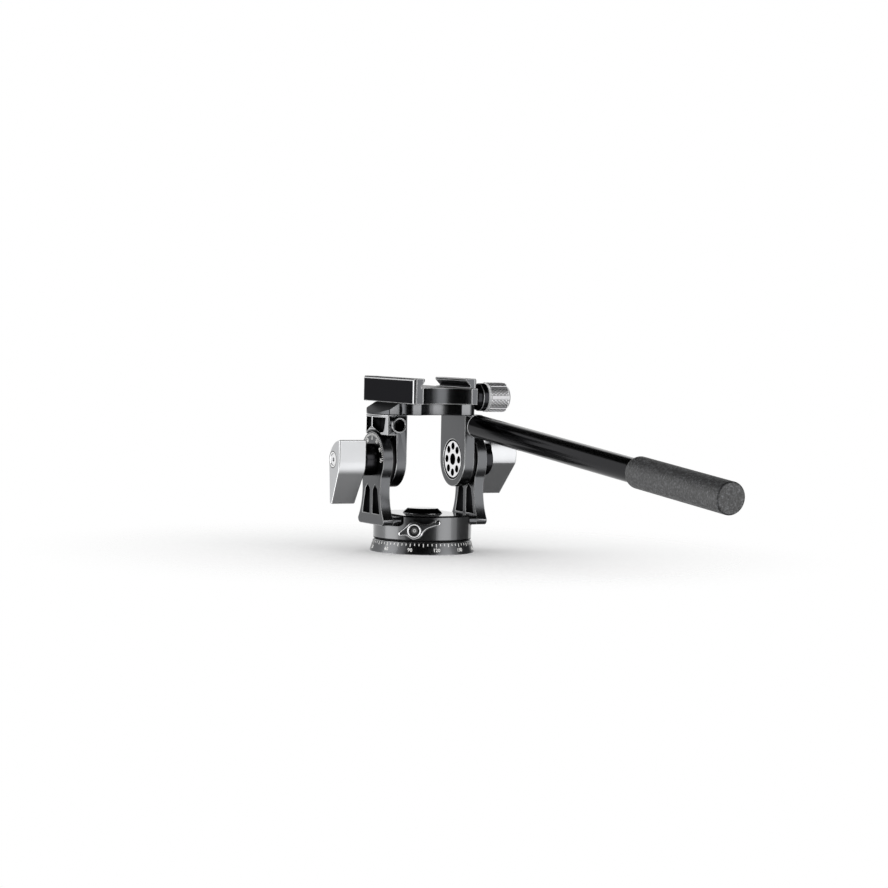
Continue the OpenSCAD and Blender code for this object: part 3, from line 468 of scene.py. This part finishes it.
METALS = {
    "black_anodised": dict(tone=(0.090, 0.092, 0.096), roughness=0.25, marks=0.03, glance=0.90),
    "black_clamp": dict(tone=(0.08, 0.082, 0.086), roughness=0.24, marks=0.03, glance=0.45),
    # a darker copy of the anodising, as painted shade on the clamp's long outer sides
    "black_side": dict(tone=(0.022, 0.022, 0.024), roughness=0.30, marks=0.03, glance=0.45),
    # a lighter copy of the anodising, as painted light on the plate
    "black_plate": dict(tone=(0.17, 0.172, 0.177), roughness=0.24, marks=0.03, glance=0.45),
    # a lighter copy of the anodising, as a painted highlight on the outside of the arms' heads
    "window_frame": dict(tone=(0.20, 0.202, 0.207), roughness=0.25, marks=0.03, glance=0.90),
    "black_blasted": dict(tone=(0.10, 0.102, 0.106), roughness=0.50, contrast=0.2, glance=0.45),
    "black_turned": dict(tone=(0.12, 0.122, 0.126), roughness=0.30, marks=0.03, rings=PAN_RINGS,
                         coat=1.0, glance=0.45),
    "black_dial": dict(tone=(0.11, 0.112, 0.116), roughness=0.28, marks=0.03, rings=PAN_RINGS,
                       coat=0.3, glance=0.45),
    "black_cap": dict(tone=(0.022, 0.022, 0.024), roughness=0.22, contrast=0.15, coat=1.0),
    # painted shade: near-black for pockets, holes, window floors, the cap's sides, the screw's edge and the axles
    "black_pocket": dict(tone=(0.010, 0.010, 0.011), roughness=0.5, glance=0.3),
    # lighter edge finishes, as painted highlights along rounded edges
    "bright_edge": dict(tone=(0.60, 0.605, 0.61), roughness=0.24, grain=EDGE_GRAIN, contrast=0.25),
    "upright_edge": dict(tone=(0.32, 0.322, 0.326), roughness=0.34, grain=EDGE_GRAIN, contrast=0.2),
    "clamp_edge": dict(tone=(0.62, 0.625, 0.63), roughness=0.48, grain=EDGE_GRAIN, contrast=0.2),
    # near-white, as a painted highlight on the lever's screw rim and the knob's rim; on the ferrule, its silver
    # painted lighter as a highlight
    "bare_rim": dict(tone=(0.93, 0.93, 0.94), roughness=0.60, metallic=0.2, contrast=0.05),
    "bare_edge": dict(tone=(0.88, 0.88, 0.89), roughness=0.22, grain=EDGE_GRAIN, contrast=0.1),
    # a darker copy of the anodising, as painted shade on the collars, the clamp's neck and the drum's edges
    "black_collar": dict(tone=(0.022, 0.022, 0.024), roughness=0.22, contrast=0.15, glance=0.35),
    "grey_anodised": dict(tone=(0.47, 0.475, 0.485), roughness=0.32, contrast=0.05, rings=TILT_RINGS),
    # the screw's head, dark, with painted highlight rings
    "ringed_screw": dict(tone=(0.02, 0.02, 0.022), roughness=0.45, metallic=0.0),
    "grey_edge": dict(tone=(0.70, 0.705, 0.71), roughness=0.24, contrast=0.05),
    "silver_anodised": dict(tone=(0.46, 0.46, 0.47), roughness=0.45, rings=STUD_RINGS),
    # painted shade between the knurl's teeth, and lighter teeth as a painted highlight
    "knurl_gap": dict(tone=(0.20, 0.20, 0.205), roughness=0.50, glance=0.4),
    "knurl_tooth_highlight": dict(tone=(0.84, 0.84, 0.85), roughness=0.42, contrast=0.05),
    "bright_steel": dict(tone=(0.80, 0.80, 0.81), roughness=0.2, contrast=0.05, rings=TILT_RINGS),
    "plain_steel": dict(tone=(0.50, 0.50, 0.51), roughness=0.34),
    "black_screw": dict(tone=(0.06, 0.06, 0.064), roughness=0.38, contrast=0.2),
    "friction_polymer": dict(tone=(0.012, 0.012, 0.013), roughness=0.7, metallic=0.0),
    # bronze, toned darker as painted shade where the bushes show through the nuts' holes
    "bronze": dict(tone=(0.20, 0.14, 0.07), roughness=0.45, contrast=0.2),
    "black_tube": dict(tone=(0.032, 0.032, 0.034), roughness=0.16, contrast=0.2, marks=0.02,
                       glance=0.72),
    "white_print": dict(tone=(0.93, 0.93, 0.91), roughness=0.6, metallic=0.0, contrast=0.05),
}

FINISH = {name: satin_metal(name, **look) for name, look in METALS.items()}
FINISH["foam_grip"] = foam("foam_grip")
add_toned_rings(FINISH["grey_anodised"], TILT_CENTRE, ALONG_X, WING_RINGS)
add_toned_rings(FINISH["ringed_screw"], LOCK_PLACE, LOCK_TURN, SCREW_HIGHLIGHT_RINGS)
add_sheen(FINISH["black_tube"])


# Mesh tools

def new_piece(name, mesh):
    """A piece in the scene that shows a mesh."""
    piece = bpy.data.objects.new(name, mesh)
    bpy.context.scene.collection.objects.link(piece)
    return piece


def mesh_from(name, shape):
    """A new mesh that takes over a worked shape."""
    mesh = bpy.data.meshes.new(name)
    shape.to_mesh(mesh)
    shape.free()
    return mesh


def bake(piece):
    """Turns a piece's modifiers into plain mesh."""
    graph = bpy.context.evaluated_depsgraph_get()
    mesh = bpy.data.meshes.new_from_object(
        piece.evaluated_get(graph), preserve_all_data_layers=True, depsgraph=graph)
    mesh.name = piece.name
    piece.modifiers.clear()
    piece.data = mesh
    return piece


def place(piece, body, slot, *nodes):
    """Puts a piece on its body and hides the CAD nodes it stands for. The slot is not used."""
    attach(piece, body)
    if nodes:
        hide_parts(*nodes)
    return piece


def merged_copy(node):
    """A CAD node's shape as one closed mesh of convex faces, with its outward edges marked."""
    source = frame["nodes"][node].data
    mesh = bpy.data.meshes.new(node + "_finished")
    mesh.from_pydata([v.co for v in source.vertices], [], [p.vertices[:] for p in source.polygons])
    shape = bmesh.new()
    shape.from_mesh(mesh)
    bmesh.ops.remove_doubles(shape, verts=shape.verts, dist=MERGE)
    bmesh.ops.dissolve_limit(shape, angle_limit=FLAT_ANGLE, verts=shape.verts, edges=shape.edges)
    bmesh.ops.connect_verts_concave(shape, faces=shape.faces)
    shape.normal_update()
    weight = shape.edges.layers.float.new(EDGE_WEIGHT)
    for edge in shape.edges:
        if edge.calc_face_angle(0.0) > EDGE_ANGLE and edge.is_convex:
            edge[weight] = 1.0
    shape.to_mesh(mesh)
    shape.free()
    return mesh


def darken_pockets(mesh, node, slot):
    """Paints shade on the faces that look at each other across a pocket or a hole, by giving them another finish.
    """
    shape = bmesh.new()
    shape.from_mesh(mesh)
    shape.normal_update()
    walls = BVHTree.FromBMesh(shape)
    for face in shape.faces:
        centre = face.calc_center_median()
        spots = [centre] + [centre.lerp(corner.co, POCKET_SPOT) for corner in face.verts]
        walled = sum(walls.ray_cast(spot + face.normal * POCKET_LIFT, face.normal, POCKET_REACH)[0]
                     is not None for spot in spots)
        if walled * 2 > len(spots):
            face.material_index = slot
    shape.to_mesh(mesh)
    shape.free()


def outer_faces(mesh, node, lean, near, far):
    """The faces that look away from the middle, between two depths below the node's outermost point."""
    low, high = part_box(node)
    side = math.copysign(1.0, low.x + high.x)
    reach = max(abs(low.x), abs(high.x))
    return [face for face in mesh.polygons
            if face.normal.x * side > lean and near <= reach - face.center.x * side < far]


def brighten_frame(mesh, node, slot):
    """Paints a highlight on the curved outside of an arm's head, which frames its windows, with a lighter finish.
    """
    for face in outer_faces(mesh, node, FRAME_LEAN, 0.0, FRAME_DEPTH):
        face.material_index = slot


def darken_window_floors(mesh, node, slot):
    """Paints shade on the floors of the windows in an arm's head, by giving them another finish."""
    for face in outer_faces(mesh, node, SIDE_LIMIT, FRAME_DEPTH, WINDOW_DEPTH):
        face.material_index = slot


def darken_ends(mesh, node, slot):
    """Paints shade on the two sloping ends of the plate, with a darker finish."""
    for face in mesh.polygons:
        if abs(face.normal.x) > END_LEAN:
            face.material_index = slot


def finish_clamp(mesh, node, slot):
    """Paints two highlights on each of the clamp's upright corners, and shade on its long outer sides."""
    low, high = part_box(node)
    for face in mesh.polygons:
        across = abs(face.normal.x)
        inset = min(face.center.x - low.x, high.x - face.center.x)
        # painted shade on the long outer sides, and painted highlights in two bands on each rounded upright corner
        if across > SIDE_LIMIT and inset < POCKET_LIFT:
            face.material_index = slot
        elif (abs(face.normal.z) < UPRIGHT_LIMIT and inset < CORNER_R
              and UPRIGHT_LIMIT < across < SIDE_LIMIT):
            turn = math.degrees(math.acos(across))
            if turn < CORNER_NEAR_DEGREES or turn > CORNER_FAR_DEGREES:
                face.material_index = EDGE_SLOT


def darken_slope(mesh, node, slot):
    """Paints shade on the sides of a cap with another finish, so that only its top shines."""
    for face in mesh.polygons:
        if face.normal.z < SIDE_LIMIT:
            face.material_index = slot


def darken_knurl(mesh, node, slot):
    """Paints shade on the knob's round side, which shows between the teeth, and a highlight on its rim."""
    low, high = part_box(node)
    axis = (low + high) / 2
    reach = (high.z - low.z) / 2
    for face in mesh.polygons:
        radius = math.hypot(face.center.y - axis.y, face.center.z - axis.z)
        if abs(face.normal.x) < UPRIGHT_LIMIT and radius > reach - KNURL_SINK:
            face.material_index = slot
        elif UPRIGHT_LIMIT < -face.normal.x < SIDE_LIMIT:
            face.material_index = EDGE_SLOT


def finish_lever(mesh, node, slot):
    """Paints a highlight on the rim round the lever's screw, and rounds it less than the lever's outline."""
    def off_axis(index):
        arm = mesh.vertices[index].co - LOCK_PLACE
        return (arm - LOCK_AXIS * arm.dot(LOCK_AXIS)).length

    weights = mesh.attributes[EDGE_WEIGHT].data
    for edge in mesh.edges:
        if max(off_axis(index) for index in edge.vertices) < LEVER_RIM_R:
            weights[edge.index].value *= LEVER_RIM_ROUND
    for face in mesh.polygons:
        level = abs(face.normal.dot(LOCK_AXIS)) > SIDE_LIMIT
        if level and max(map(off_axis, face.vertices)) < LEVER_RIM_R:
            face.material_index = slot


def keep_inside(piece, node):
    """Holds a piece's points within the box of the CAD node it stands for."""
    low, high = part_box(node)
    for point in piece.data.vertices:
        point.co = [min(max(value, least), most)
                    for value, least, most in zip(point.co, low, high)]


def rounded(node, width, finish, edge, *extra):
    """A CAD node with rounded edges in their own finish. extra are (finish, work) for other faces."""
    piece = new_piece(node + "_finished", merged_copy(node))
    piece.data.materials.append(FINISH[finish])
    piece.data.materials.append(FINISH[edge])
    for slot, (skin, work) in enumerate(extra, EDGE_SLOT + 1):
        piece.data.materials.append(FINISH[skin])
        work(piece.data, node, slot)
    piece.data.shade_smooth()
    bevel = piece.modifiers.new("rounded_edges", "BEVEL")
    bevel.width = width
    bevel.segments = EDGE_STEPS
    bevel.limit_method = "WEIGHT"
    bevel.use_clamp_overlap = False
    bevel.loop_slide = False
    bevel.material = EDGE_SLOT
    normals = piece.modifiers.new("flat_faces", "WEIGHTED_NORMAL")
    normals.keep_sharp = False
    bake(piece)
    keep_inside(piece, node)
    return place(piece, BODY_OF[node], SLOT_OF[node], node)


# Pieces with rounded edges: node, edge width in mm, finish, edge finish and work on other faces. The lighter edge
# finishes of the black pieces are painted highlights.

# painted shade in pockets and holes
POCKET_SHADE = ("black_pocket", darken_pockets)
# the arms' heads take painted shade in pockets and window floors, and a painted highlight outside
ARM_HEAD = (POCKET_SHADE, ("window_frame", brighten_frame), ("black_pocket", darken_window_floors))
CLAMP_LIGHT_AND_SHADE = ("black_side", finish_clamp)

ROUNDED = [
    ("pan_base", 0.25, "black_dial", "bright_edge"),
    ("pan_drum", 0.35, "black_turned", "black_collar"),
    ("top_cap", 0.25, "black_cap", "bright_edge", ("black_pocket", darken_slope)),
    ("left_upright", 0.40, "black_anodised", "upright_edge", POCKET_SHADE),
    ("right_upright", 0.40, "black_anodised", "upright_edge", POCKET_SHADE),
    ("pan_lever", 0.75, "black_blasted", "bare_edge", ("bare_rim", finish_lever)),
    ("lever_screw", 0.20, "ringed_screw", "black_pocket"),
    ("yoke_plate", 0.35, "black_plate", "black_clamp", ("black_clamp", darken_ends)),
    ("left_arm", 0.40, "black_anodised", "bright_edge", *ARM_HEAD),
    ("right_arm", 0.40, "black_anodised", "bright_edge", *ARM_HEAD),
    ("clamp_body", 0.40, "black_clamp", "clamp_edge", CLAMP_LIGHT_AND_SHADE),
    ("clamp_jaw", 0.40, "black_clamp", "clamp_edge", CLAMP_LIGHT_AND_SHADE),
    ("clamp_neck", 0.30, "black_collar", "clamp_edge"),
    ("left_collar", 0.20, "black_collar", "black_collar"),
    ("right_collar", 0.20, "black_collar", "black_collar"),
    ("left_wing_knob", 0.60, "grey_anodised", "grey_edge"),
    ("right_wing_knob", 0.60, "grey_anodised", "grey_edge"),
    ("clamp_knob", 0.25, "silver_anodised", "bare_rim", ("knurl_gap", darken_knurl)),
    ("left_axle_nut", 0.20, "bright_steel", "bright_steel", POCKET_SHADE),
    ("right_axle_nut", 0.20, "bright_steel", "bright_steel", POCKET_SHADE),
    ("handle_ferrule", 0.15, "bare_rim", "bare_rim"),
    ("handle_tube", 0.15, "black_tube", "black_tube"),
    ("handle_grip", 1.00, "foam_grip", "foam_grip"),
]

for node, width, *looks in ROUNDED:
    rounded(node, width * MM, *looks)


# The other CAD nodes keep their mesh and take a finish

# the axles take the painted shade
OTHER_FINISH = {"left_axle": "black_pocket", "right_axle": "black_pocket"}
rounded_nodes = {row[0] for row in ROUNDED}
for node, piece in frame["nodes"].items():
    if node not in rounded_nodes:
        piece.data.materials.clear()
        piece.data.materials.append(FINISH[OTHER_FINISH.get(node, SLOT_OF[node])])


# Geometry Nodes: scale marks around an axis, and a knurl

def finish_tree(tree, copies, sizes, end, turn):
    """Makes the copies real, moves them to their place and gives them their finish."""
    whole = add_node(tree, "GeometryNodeRealizeInstances", {"Geometry": copies.outputs[0]})
    moved = add_node(tree, "GeometryNodeTransform",
                     {"Geometry": whole.outputs[0], "Rotation": turn,
                      "Translation": sizes["Place"]})
    painted = add_node(tree, "GeometryNodeSetMaterial",
                       {"Geometry": moved.outputs[0], "Material": sizes["Material"]})
    tree.links.new(painted.outputs[0], end.inputs[0])


def build_scale_marks():
    """Bars around Z at one radius that lean with a slope, with a longer one every so often."""
    tree, start, end = new_group(
        "scale_marks", "GeometryNodeTree",
        {"Count": "Int", "Every": "Int", "Radius": "Float", "Slope": "Float", "First": "Float",
         "Step": "Float", "Short": "Float", "Long": "Float", "Width": "Float",
         "Thickness": "Float", "Turn": "Vector", "Place": "Vector", "Material": "Material"},
        {"Geometry": "Geometry"})
    sizes = start.outputs
    points = add_node(tree, "GeometryNodePoints", {"Count": sizes["Count"]}).outputs[0]
    index = add_node(tree, "GeometryNodeInputIndex").outputs[0]
    angle = math_node(tree, "ADD", sizes["First"], math_node(tree, "MULTIPLY", index, sizes["Step"]))
    is_long = add_node(tree, "FunctionNodeCompare",
                       {"A": math_node(tree, "MODULO", index, sizes["Every"]), "B": 0.5},
                       data_type="FLOAT", operation="LESS_THAN").outputs[0]
    is_short = add_node(tree, "FunctionNodeBooleanMath", {0: is_long}, operation="NOT").outputs[0]
    turned = vector_node(tree, z=angle)
    join = add_node(tree, "GeometryNodeJoinGeometry")
    for length, chosen in ((sizes["Short"], is_short), (sizes["Long"], is_long)):
        bar = add_node(tree, "GeometryNodeMeshCube",
                       {"Size": vector_node(tree, sizes["Thickness"], sizes["Width"], length)})
        hung = add_node(tree, "GeometryNodeTransform",
                        {"Geometry": bar.outputs[0],
                         "Translation": vector_node(tree, z=math_node(tree, "MULTIPLY", length, -0.5))})
        leant = add_node(tree, "GeometryNodeTransform",
                         {"Geometry": hung.outputs[0], "Rotation": vector_node(tree, y=sizes["Slope"]),
                          "Translation": vector_node(tree, sizes["Radius"])})
        bars = add_node(tree, "GeometryNodeInstanceOnPoints",
                        {"Points": points, "Selection": chosen, "Instance": leant.outputs[0],
                         "Rotation": turned})
        tree.links.new(bars.outputs[0], join.inputs[0])
    finish_tree(tree, join, sizes, end, sizes["Turn"])
    return tree


def build_diamond_knurl():
    """Small pyramids in staggered rows on a cylinder about X, with smooth bands left free."""
    tree, start, end = new_group(
        "diamond_knurl", "GeometryNodeTree",
        {"Rows": "Int", "Around": "Int", "Radius": "Float", "Length": "Float", "Height": "Float",
         "Bands": "Int", "Band Half": "Float", "Place": "Vector", "Material": "Material"},
        {"Geometry": "Geometry"})
    sizes = start.outputs
    total = math_node(tree, "MULTIPLY", sizes["Rows"], sizes["Around"])
    points = add_node(tree, "GeometryNodePoints", {"Count": total}).outputs[0]
    index = add_node(tree, "GeometryNodeInputIndex").outputs[0]
    row = math_node(tree, "FLOOR", math_node(tree, "DIVIDE", index, sizes["Around"]))
    stagger = math_node(tree, "MULTIPLY", math_node(tree, "MODULO", row, 2.0), 0.5)
    column = math_node(tree, "ADD", math_node(tree, "MODULO", index, sizes["Around"]), stagger)
    angle = math_node(tree, "MULTIPLY", math_node(tree, "DIVIDE", column, sizes["Around"]), math.tau)
    pitch = math_node(tree, "DIVIDE", sizes["Length"], sizes["Rows"])
    along = math_node(tree, "MULTIPLY", math_node(tree, "ADD", row, 0.5), pitch)
    spot = vector_node(tree, along,
                       math_node(tree, "MULTIPLY", math_node(tree, "COSINE", angle), sizes["Radius"]),
                       math_node(tree, "MULTIPLY", math_node(tree, "SINE", angle), sizes["Radius"]))
    spread = add_node(tree, "GeometryNodeSetPosition", {"Geometry": points, "Position": spot})
    band_step = math_node(tree, "DIVIDE", math.tau, sizes["Bands"])
    half_step = math_node(tree, "MULTIPLY", band_step, 0.5)
    in_step = math_node(tree, "MODULO", math_node(tree, "ADD", angle, half_step), band_step)
    off_band = math_node(tree, "ABSOLUTE", math_node(tree, "SUBTRACT", in_step, half_step))
    cut = add_node(tree, "FunctionNodeCompare", {"A": off_band, "B": sizes["Band Half"]},
                   data_type="FLOAT", operation="GREATER_THAN").outputs[0]
    tooth = add_node(tree, "GeometryNodeMeshCone",
                     {"Vertices": 4, "Radius Top": KNURL_TOP, "Radius Bottom": KNURL_FOOT, "Depth": 1.0})
    half_turn = math_node(tree, "DIVIDE", math_node(tree, "MULTIPLY", sizes["Radius"], math.pi),
                          sizes["Around"])
    teeth = add_node(tree, "GeometryNodeInstanceOnPoints",
                     {"Points": spread.outputs[0], "Selection": cut, "Instance": tooth.outputs[0],
                      "Rotation": vector_node(tree, math_node(tree, "SUBTRACT", angle, math.pi / 2)),
                      "Scale": vector_node(tree, pitch, half_turn, sizes["Height"])})
    finish_tree(tree, teeth, sizes, end, NO_TURN)
    return tree


def grown(name, tree, **values):
    """A plain mesh piece that a geometry tree makes from its named inputs."""
    piece = new_piece(name, bpy.data.meshes.new(name))
    modifier = piece.modifiers.new(name, "NODES")
    modifier.node_group = tree
    sockets = {item.name: item.identifier for item in tree.interface.items_tree
               if item.in_out == "INPUT"}
    for label, value in values.items():
        modifier[sockets[label.replace("_", " ")]] = value
    return bake(piece)


SCALE_MARKS = build_scale_marks()
DIAMOND_KNURL = build_diamond_knurl()


# Printed scales

def number_mesh(text, height, turn):
    """Flat printed figures, centred, with turn as the matrix that places them."""
    curve = bpy.data.curves.new("figures", "FONT")
    curve.body = text
    curve.align_x = "CENTER"
    curve.align_y = "CENTER"
    curve.size = height / FIGURE_CAP
    curve.resolution_u = FIGURE_STEPS
    curve.extrude = PRINT_T / 2
    curve.offset = FIGURE_BOLD
    holder = bpy.data.objects.new("figures", curve)
    bpy.context.scene.collection.objects.link(holder)
    graph = bpy.context.evaluated_depsgraph_get()
    mesh = bpy.data.meshes.new_from_object(holder.evaluated_get(graph))
    bpy.data.objects.remove(holder)
    mesh.transform(turn)
    return mesh


def figures(name, rows, height, body, slot):
    """One piece that holds all the figures of a scale. rows are (text, placing matrix)."""
    shape = bmesh.new()
    for text, turn in rows:
        mesh = number_mesh(text, height, turn)
        shape.from_mesh(mesh)
        bpy.data.meshes.remove(mesh)
    whole = mesh_from(name, shape)
    whole.materials.append(FINISH["white_print"])
    return place(new_piece(name, whole), body, slot)


def facing(spot, right, up):
    """A matrix that stands flat figures at a spot with their right and up along two directions."""
    turn = Matrix((right, up, right.cross(up))).transposed().to_4x4()
    turn.translation = spot
    return turn


def dial_point(angle, drop):
    """A point on the dial's slope, drop below its upper edge, with its right and up directions."""
    radius = DIAL_FOOT_R - DIAL_FLARE + drop * math.sin(DIAL_SLOPE)
    height = DIAL_TOP_Z - drop * math.cos(DIAL_SLOPE)
    out = Vector((math.cos(angle), math.sin(angle), 0))
    right = Vector((-math.sin(angle), math.cos(angle), 0))
    up = Vector((0, 0, math.cos(DIAL_SLOPE))) - out * math.sin(DIAL_SLOPE)
    return out * radius + Vector((0, 0, height)), right, up


def pan_scale():
    """The degree scale round the dial."""
    top, _, _ = dial_point(0.0, DIAL_EDGE)
    marks = grown("dial_marks", SCALE_MARKS, Count=DIAL_TICKS, Every=DIAL_LONG_EVERY,
                  Radius=top.x, Slope=-DIAL_SLOPE, First=DIAL_ZERO, Step=math.tau / DIAL_TICKS,
                  Short=DIAL_SHORT, Long=DIAL_LONG, Width=DIAL_TICK_W, Thickness=PRINT_T,
                  Turn=NO_TURN, Place=(0.0, 0.0, top.z), Material=FINISH["white_print"])
    place(marks, "base", SLOT_OF["pan_base"])
    rows = []
    for degrees in range(0, 360, DIAL_NUMBER_STEP):
        spot = dial_point(DIAL_ZERO + math.radians(degrees), DIAL_NUMBER_DROP)
        rows.append((str(degrees), facing(*spot)))
    figures("dial_figures", rows, DIAL_NUMBER_H, "base", SLOT_OF["pan_base"])


def tilt_scale():
    """The degree scale round the left boss, which counts up to both sides."""
    count = 2 * TILT_REACH // TILT_TICK_STEP + 1
    marks = grown("tilt_marks", SCALE_MARKS, Count=count, Every=TILT_LONG_EVERY,
                  Radius=BOSS_R - TILT_EDGE, Slope=math.pi / 2, First=-math.radians(TILT_REACH),
                  Step=math.radians(TILT_TICK_STEP), Short=TILT_SHORT, Long=TILT_LONG,
                  Width=TILT_TICK_W, Thickness=PRINT_T, Turn=(0.0, -math.pi / 2, 0.0),
                  Place=(BOSS_FACE_X, 0.0, TILT_Z), Material=FINISH["white_print"])
    place(marks, "pan", SLOT_OF["left_upright"])
    rows = []
    for degrees in range(-TILT_REACH, TILT_REACH + 1, TILT_TICK_STEP * TILT_LONG_EVERY):
        angle = math.radians(degrees)
        out = Vector((0, -math.sin(angle), math.cos(angle)))
        right = Vector((0, -math.cos(angle), -math.sin(angle)))
        spot = Vector((BOSS_FACE_X, 0, TILT_Z)) + out * (BOSS_R - TILT_NUMBER_IN)
        rows.append((str(abs(degrees)), facing(spot, right, out)))
    figures("tilt_figures", rows, TILT_NUMBER_H, "pan", SLOT_OF["left_upright"])


def knob_knurl():
    """The teeth on the clamp knob's round side."""
    low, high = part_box("clamp_knob")
    knurl = grown("knob_knurl", DIAMOND_KNURL, Rows=KNURL_ROWS, Around=KNURL_AROUND,
                  Radius=(high.z - low.z) / 2 - KNURL_SINK,
                  Length=high.x - low.x - KNURL_MARGIN - KNURL_CHAMFER, Height=KNURL_H,
                  Bands=BAND_COUNT, Band_Half=BAND_HALF,
                  Place=(low.x + KNURL_MARGIN, 0.0, STUD_Z), Material=FINISH["knurl_tooth_highlight"])
    place(knurl, BODY_OF["clamp_knob"], SLOT_OF["clamp_knob"])


pan_scale()
tilt_scale()
knob_knurl()


# Camera

def add_camera():
    """The point of view."""
    data = bpy.data.cameras.new("camera")
    data.lens = CAMERA_LENS
    data.sensor_width = CAMERA_SENSOR
    camera = bpy.data.objects.new("camera", data)
    bpy.context.scene.collection.objects.link(camera)
    camera.matrix_world = (Matrix.Translation(CAMERA_PLACE)
                           @ Matrix.Rotation(-CAMERA_YAW, 4, "Z")
                           @ Matrix.Rotation(math.pi / 2 + CAMERA_PITCH, 4, "X")
                           @ Matrix.Rotation(CAMERA_ROLL, 4, "Z"))
    bpy.context.scene.camera = camera


# Studio: white surroundings, dark cards that only reflections show, and soft lamps

def around(angle, radius, height):
    """A point in the studio. The angle is from the camera's side, growing to its right."""
    turn = angle - math.pi / 2 - VIEW_AZIMUTH
    return Vector((radius * math.cos(turn), radius * math.sin(turn), height))


def add_arc_card(name, arc, tone, low=CARD_LOW, top=CARD_TOP):
    """An upright dark card on an arc about the object, from one angle to another."""
    first, last = arc
    shape = bmesh.new()
    rows = []
    for step in range(CARD_STEPS + 1):
        angle = math.radians(first + (last - first) * step / CARD_STEPS)
        rows.append([shape.verts.new(around(angle, CARD_R, z)) for z in (low, top)])
    for near, far in zip(rows, rows[1:]):
        shape.faces.new((near[0], far[0], far[1], near[1]))
    add_card(name, shape, tone)


def add_level_card(name, height, tone):
    """A level dark disc, for faces that look up or down."""
    shape = bmesh.new()
    bmesh.ops.create_circle(shape, cap_ends=True, radius=CARD_R, segments=CARD_SIDES,
                            matrix=Matrix.Translation((0, 0, height)))
    add_card(name, shape, tone)


def add_card(name, shape, tone):
    """A matt card that only reflections show."""
    mesh = mesh_from(name, shape)
    material, _, shader = new_material(name)
    shader.inputs["Base Color"].default_value = (tone, tone, tone, 1.0)
    shader.inputs["Roughness"].default_value = 1.0
    shader.inputs["Specular IOR Level"].default_value = 0.0
    mesh.materials.append(material)
    card = new_piece(name, mesh)
    card.visible_camera = False
    card.visible_diffuse = False
    card.visible_transmission = False
    card.visible_shadow = False


def add_floor():
    """A pale floor that fades into the white surroundings."""
    shape = bmesh.new()
    bmesh.ops.create_circle(shape, cap_ends=True, radius=FLOOR_R, segments=FLOOR_SIDES)
    mesh = mesh_from("floor", shape)
    material, tree, shader = new_material("pale_floor")
    tree.nodes.remove(shader)
    away = add_node(tree, "ShaderNodeVectorMath", {0: object_place(tree)}, operation="LENGTH")
    fade = soft_step(tree, away.outputs["Value"], FLOOR_FADE, FLOOR_GONE)
    matt = add_node(tree, "ShaderNodeBsdfDiffuse", {"Color": (*FLOOR_TONE, 1.0)})
    clear = add_node(tree, "ShaderNodeBsdfTransparent")
    mix = add_node(tree, "ShaderNodeMixShader",
                   {"Fac": fade, 1: matt.outputs[0], 2: clear.outputs[0]})
    tree.links.new(mix.outputs[0], tree.nodes["Material Output"].inputs["Surface"])
    mesh.materials.append(material)
    floor = new_piece("floor", mesh)
    floor.visible_glossy = False


def add_lamp(name, angle, brightness):
    """A tall soft lamp that stands beside the object and reaches below it."""
    data = bpy.data.lights.new(name, "AREA")
    data.shape = "RECTANGLE"
    data.size = LAMP_W
    data.size_y = LAMP_H
    data.energy = brightness * math.pi * LAMP_W * LAMP_H
    lamp = bpy.data.objects.new(name, data)
    bpy.context.scene.collection.objects.link(lamp)
    lamp.location = around(math.radians(angle), LAMP_R, 0.0)
    lamp.rotation_euler = (-lamp.location).to_track_quat("-Z", "Y").to_euler()
    lamp.visible_camera = False


def add_world():
    """White where it is seen or reflected, and a level fill for the rest."""
    world = bpy.data.worlds.new("studio")
    bpy.context.scene.world = world
    world.use_nodes = True
    tree = world.node_tree
    light = tree.nodes["Background"]
    path = add_node(tree, "ShaderNodeLightPath").outputs
    seen = math_node(tree, "MAXIMUM", path["Is Camera Ray"], path["Is Glossy Ray"])
    light.inputs["Color"].default_value = (1.0, 1.0, 1.0, 1.0)
    tree.links.new(ranged(tree, seen, AMBIENT, 1.0), light.inputs["Strength"])


add_camera()
add_world()
add_floor()
add_arc_card("front_card", FRONT_ARC, FRONT_TONE, FRONT_LOW, FRONT_TOP)
add_arc_card("right_card", RIGHT_ARC, RIGHT_TONE)
add_level_card("low_card", CARD_LOW, LOW_TONE)
add_level_card("high_card", HIGH_CARD, HIGH_TONE)
add_lamp("left_lamp", LEFT_LAMP_ANGLE, LEFT_LAMP_LIGHT)
add_lamp("right_lamp", RIGHT_LAMP_ANGLE, RIGHT_LAMP_LIGHT)
bpy.context.scene.view_settings.view_transform = "Standard"
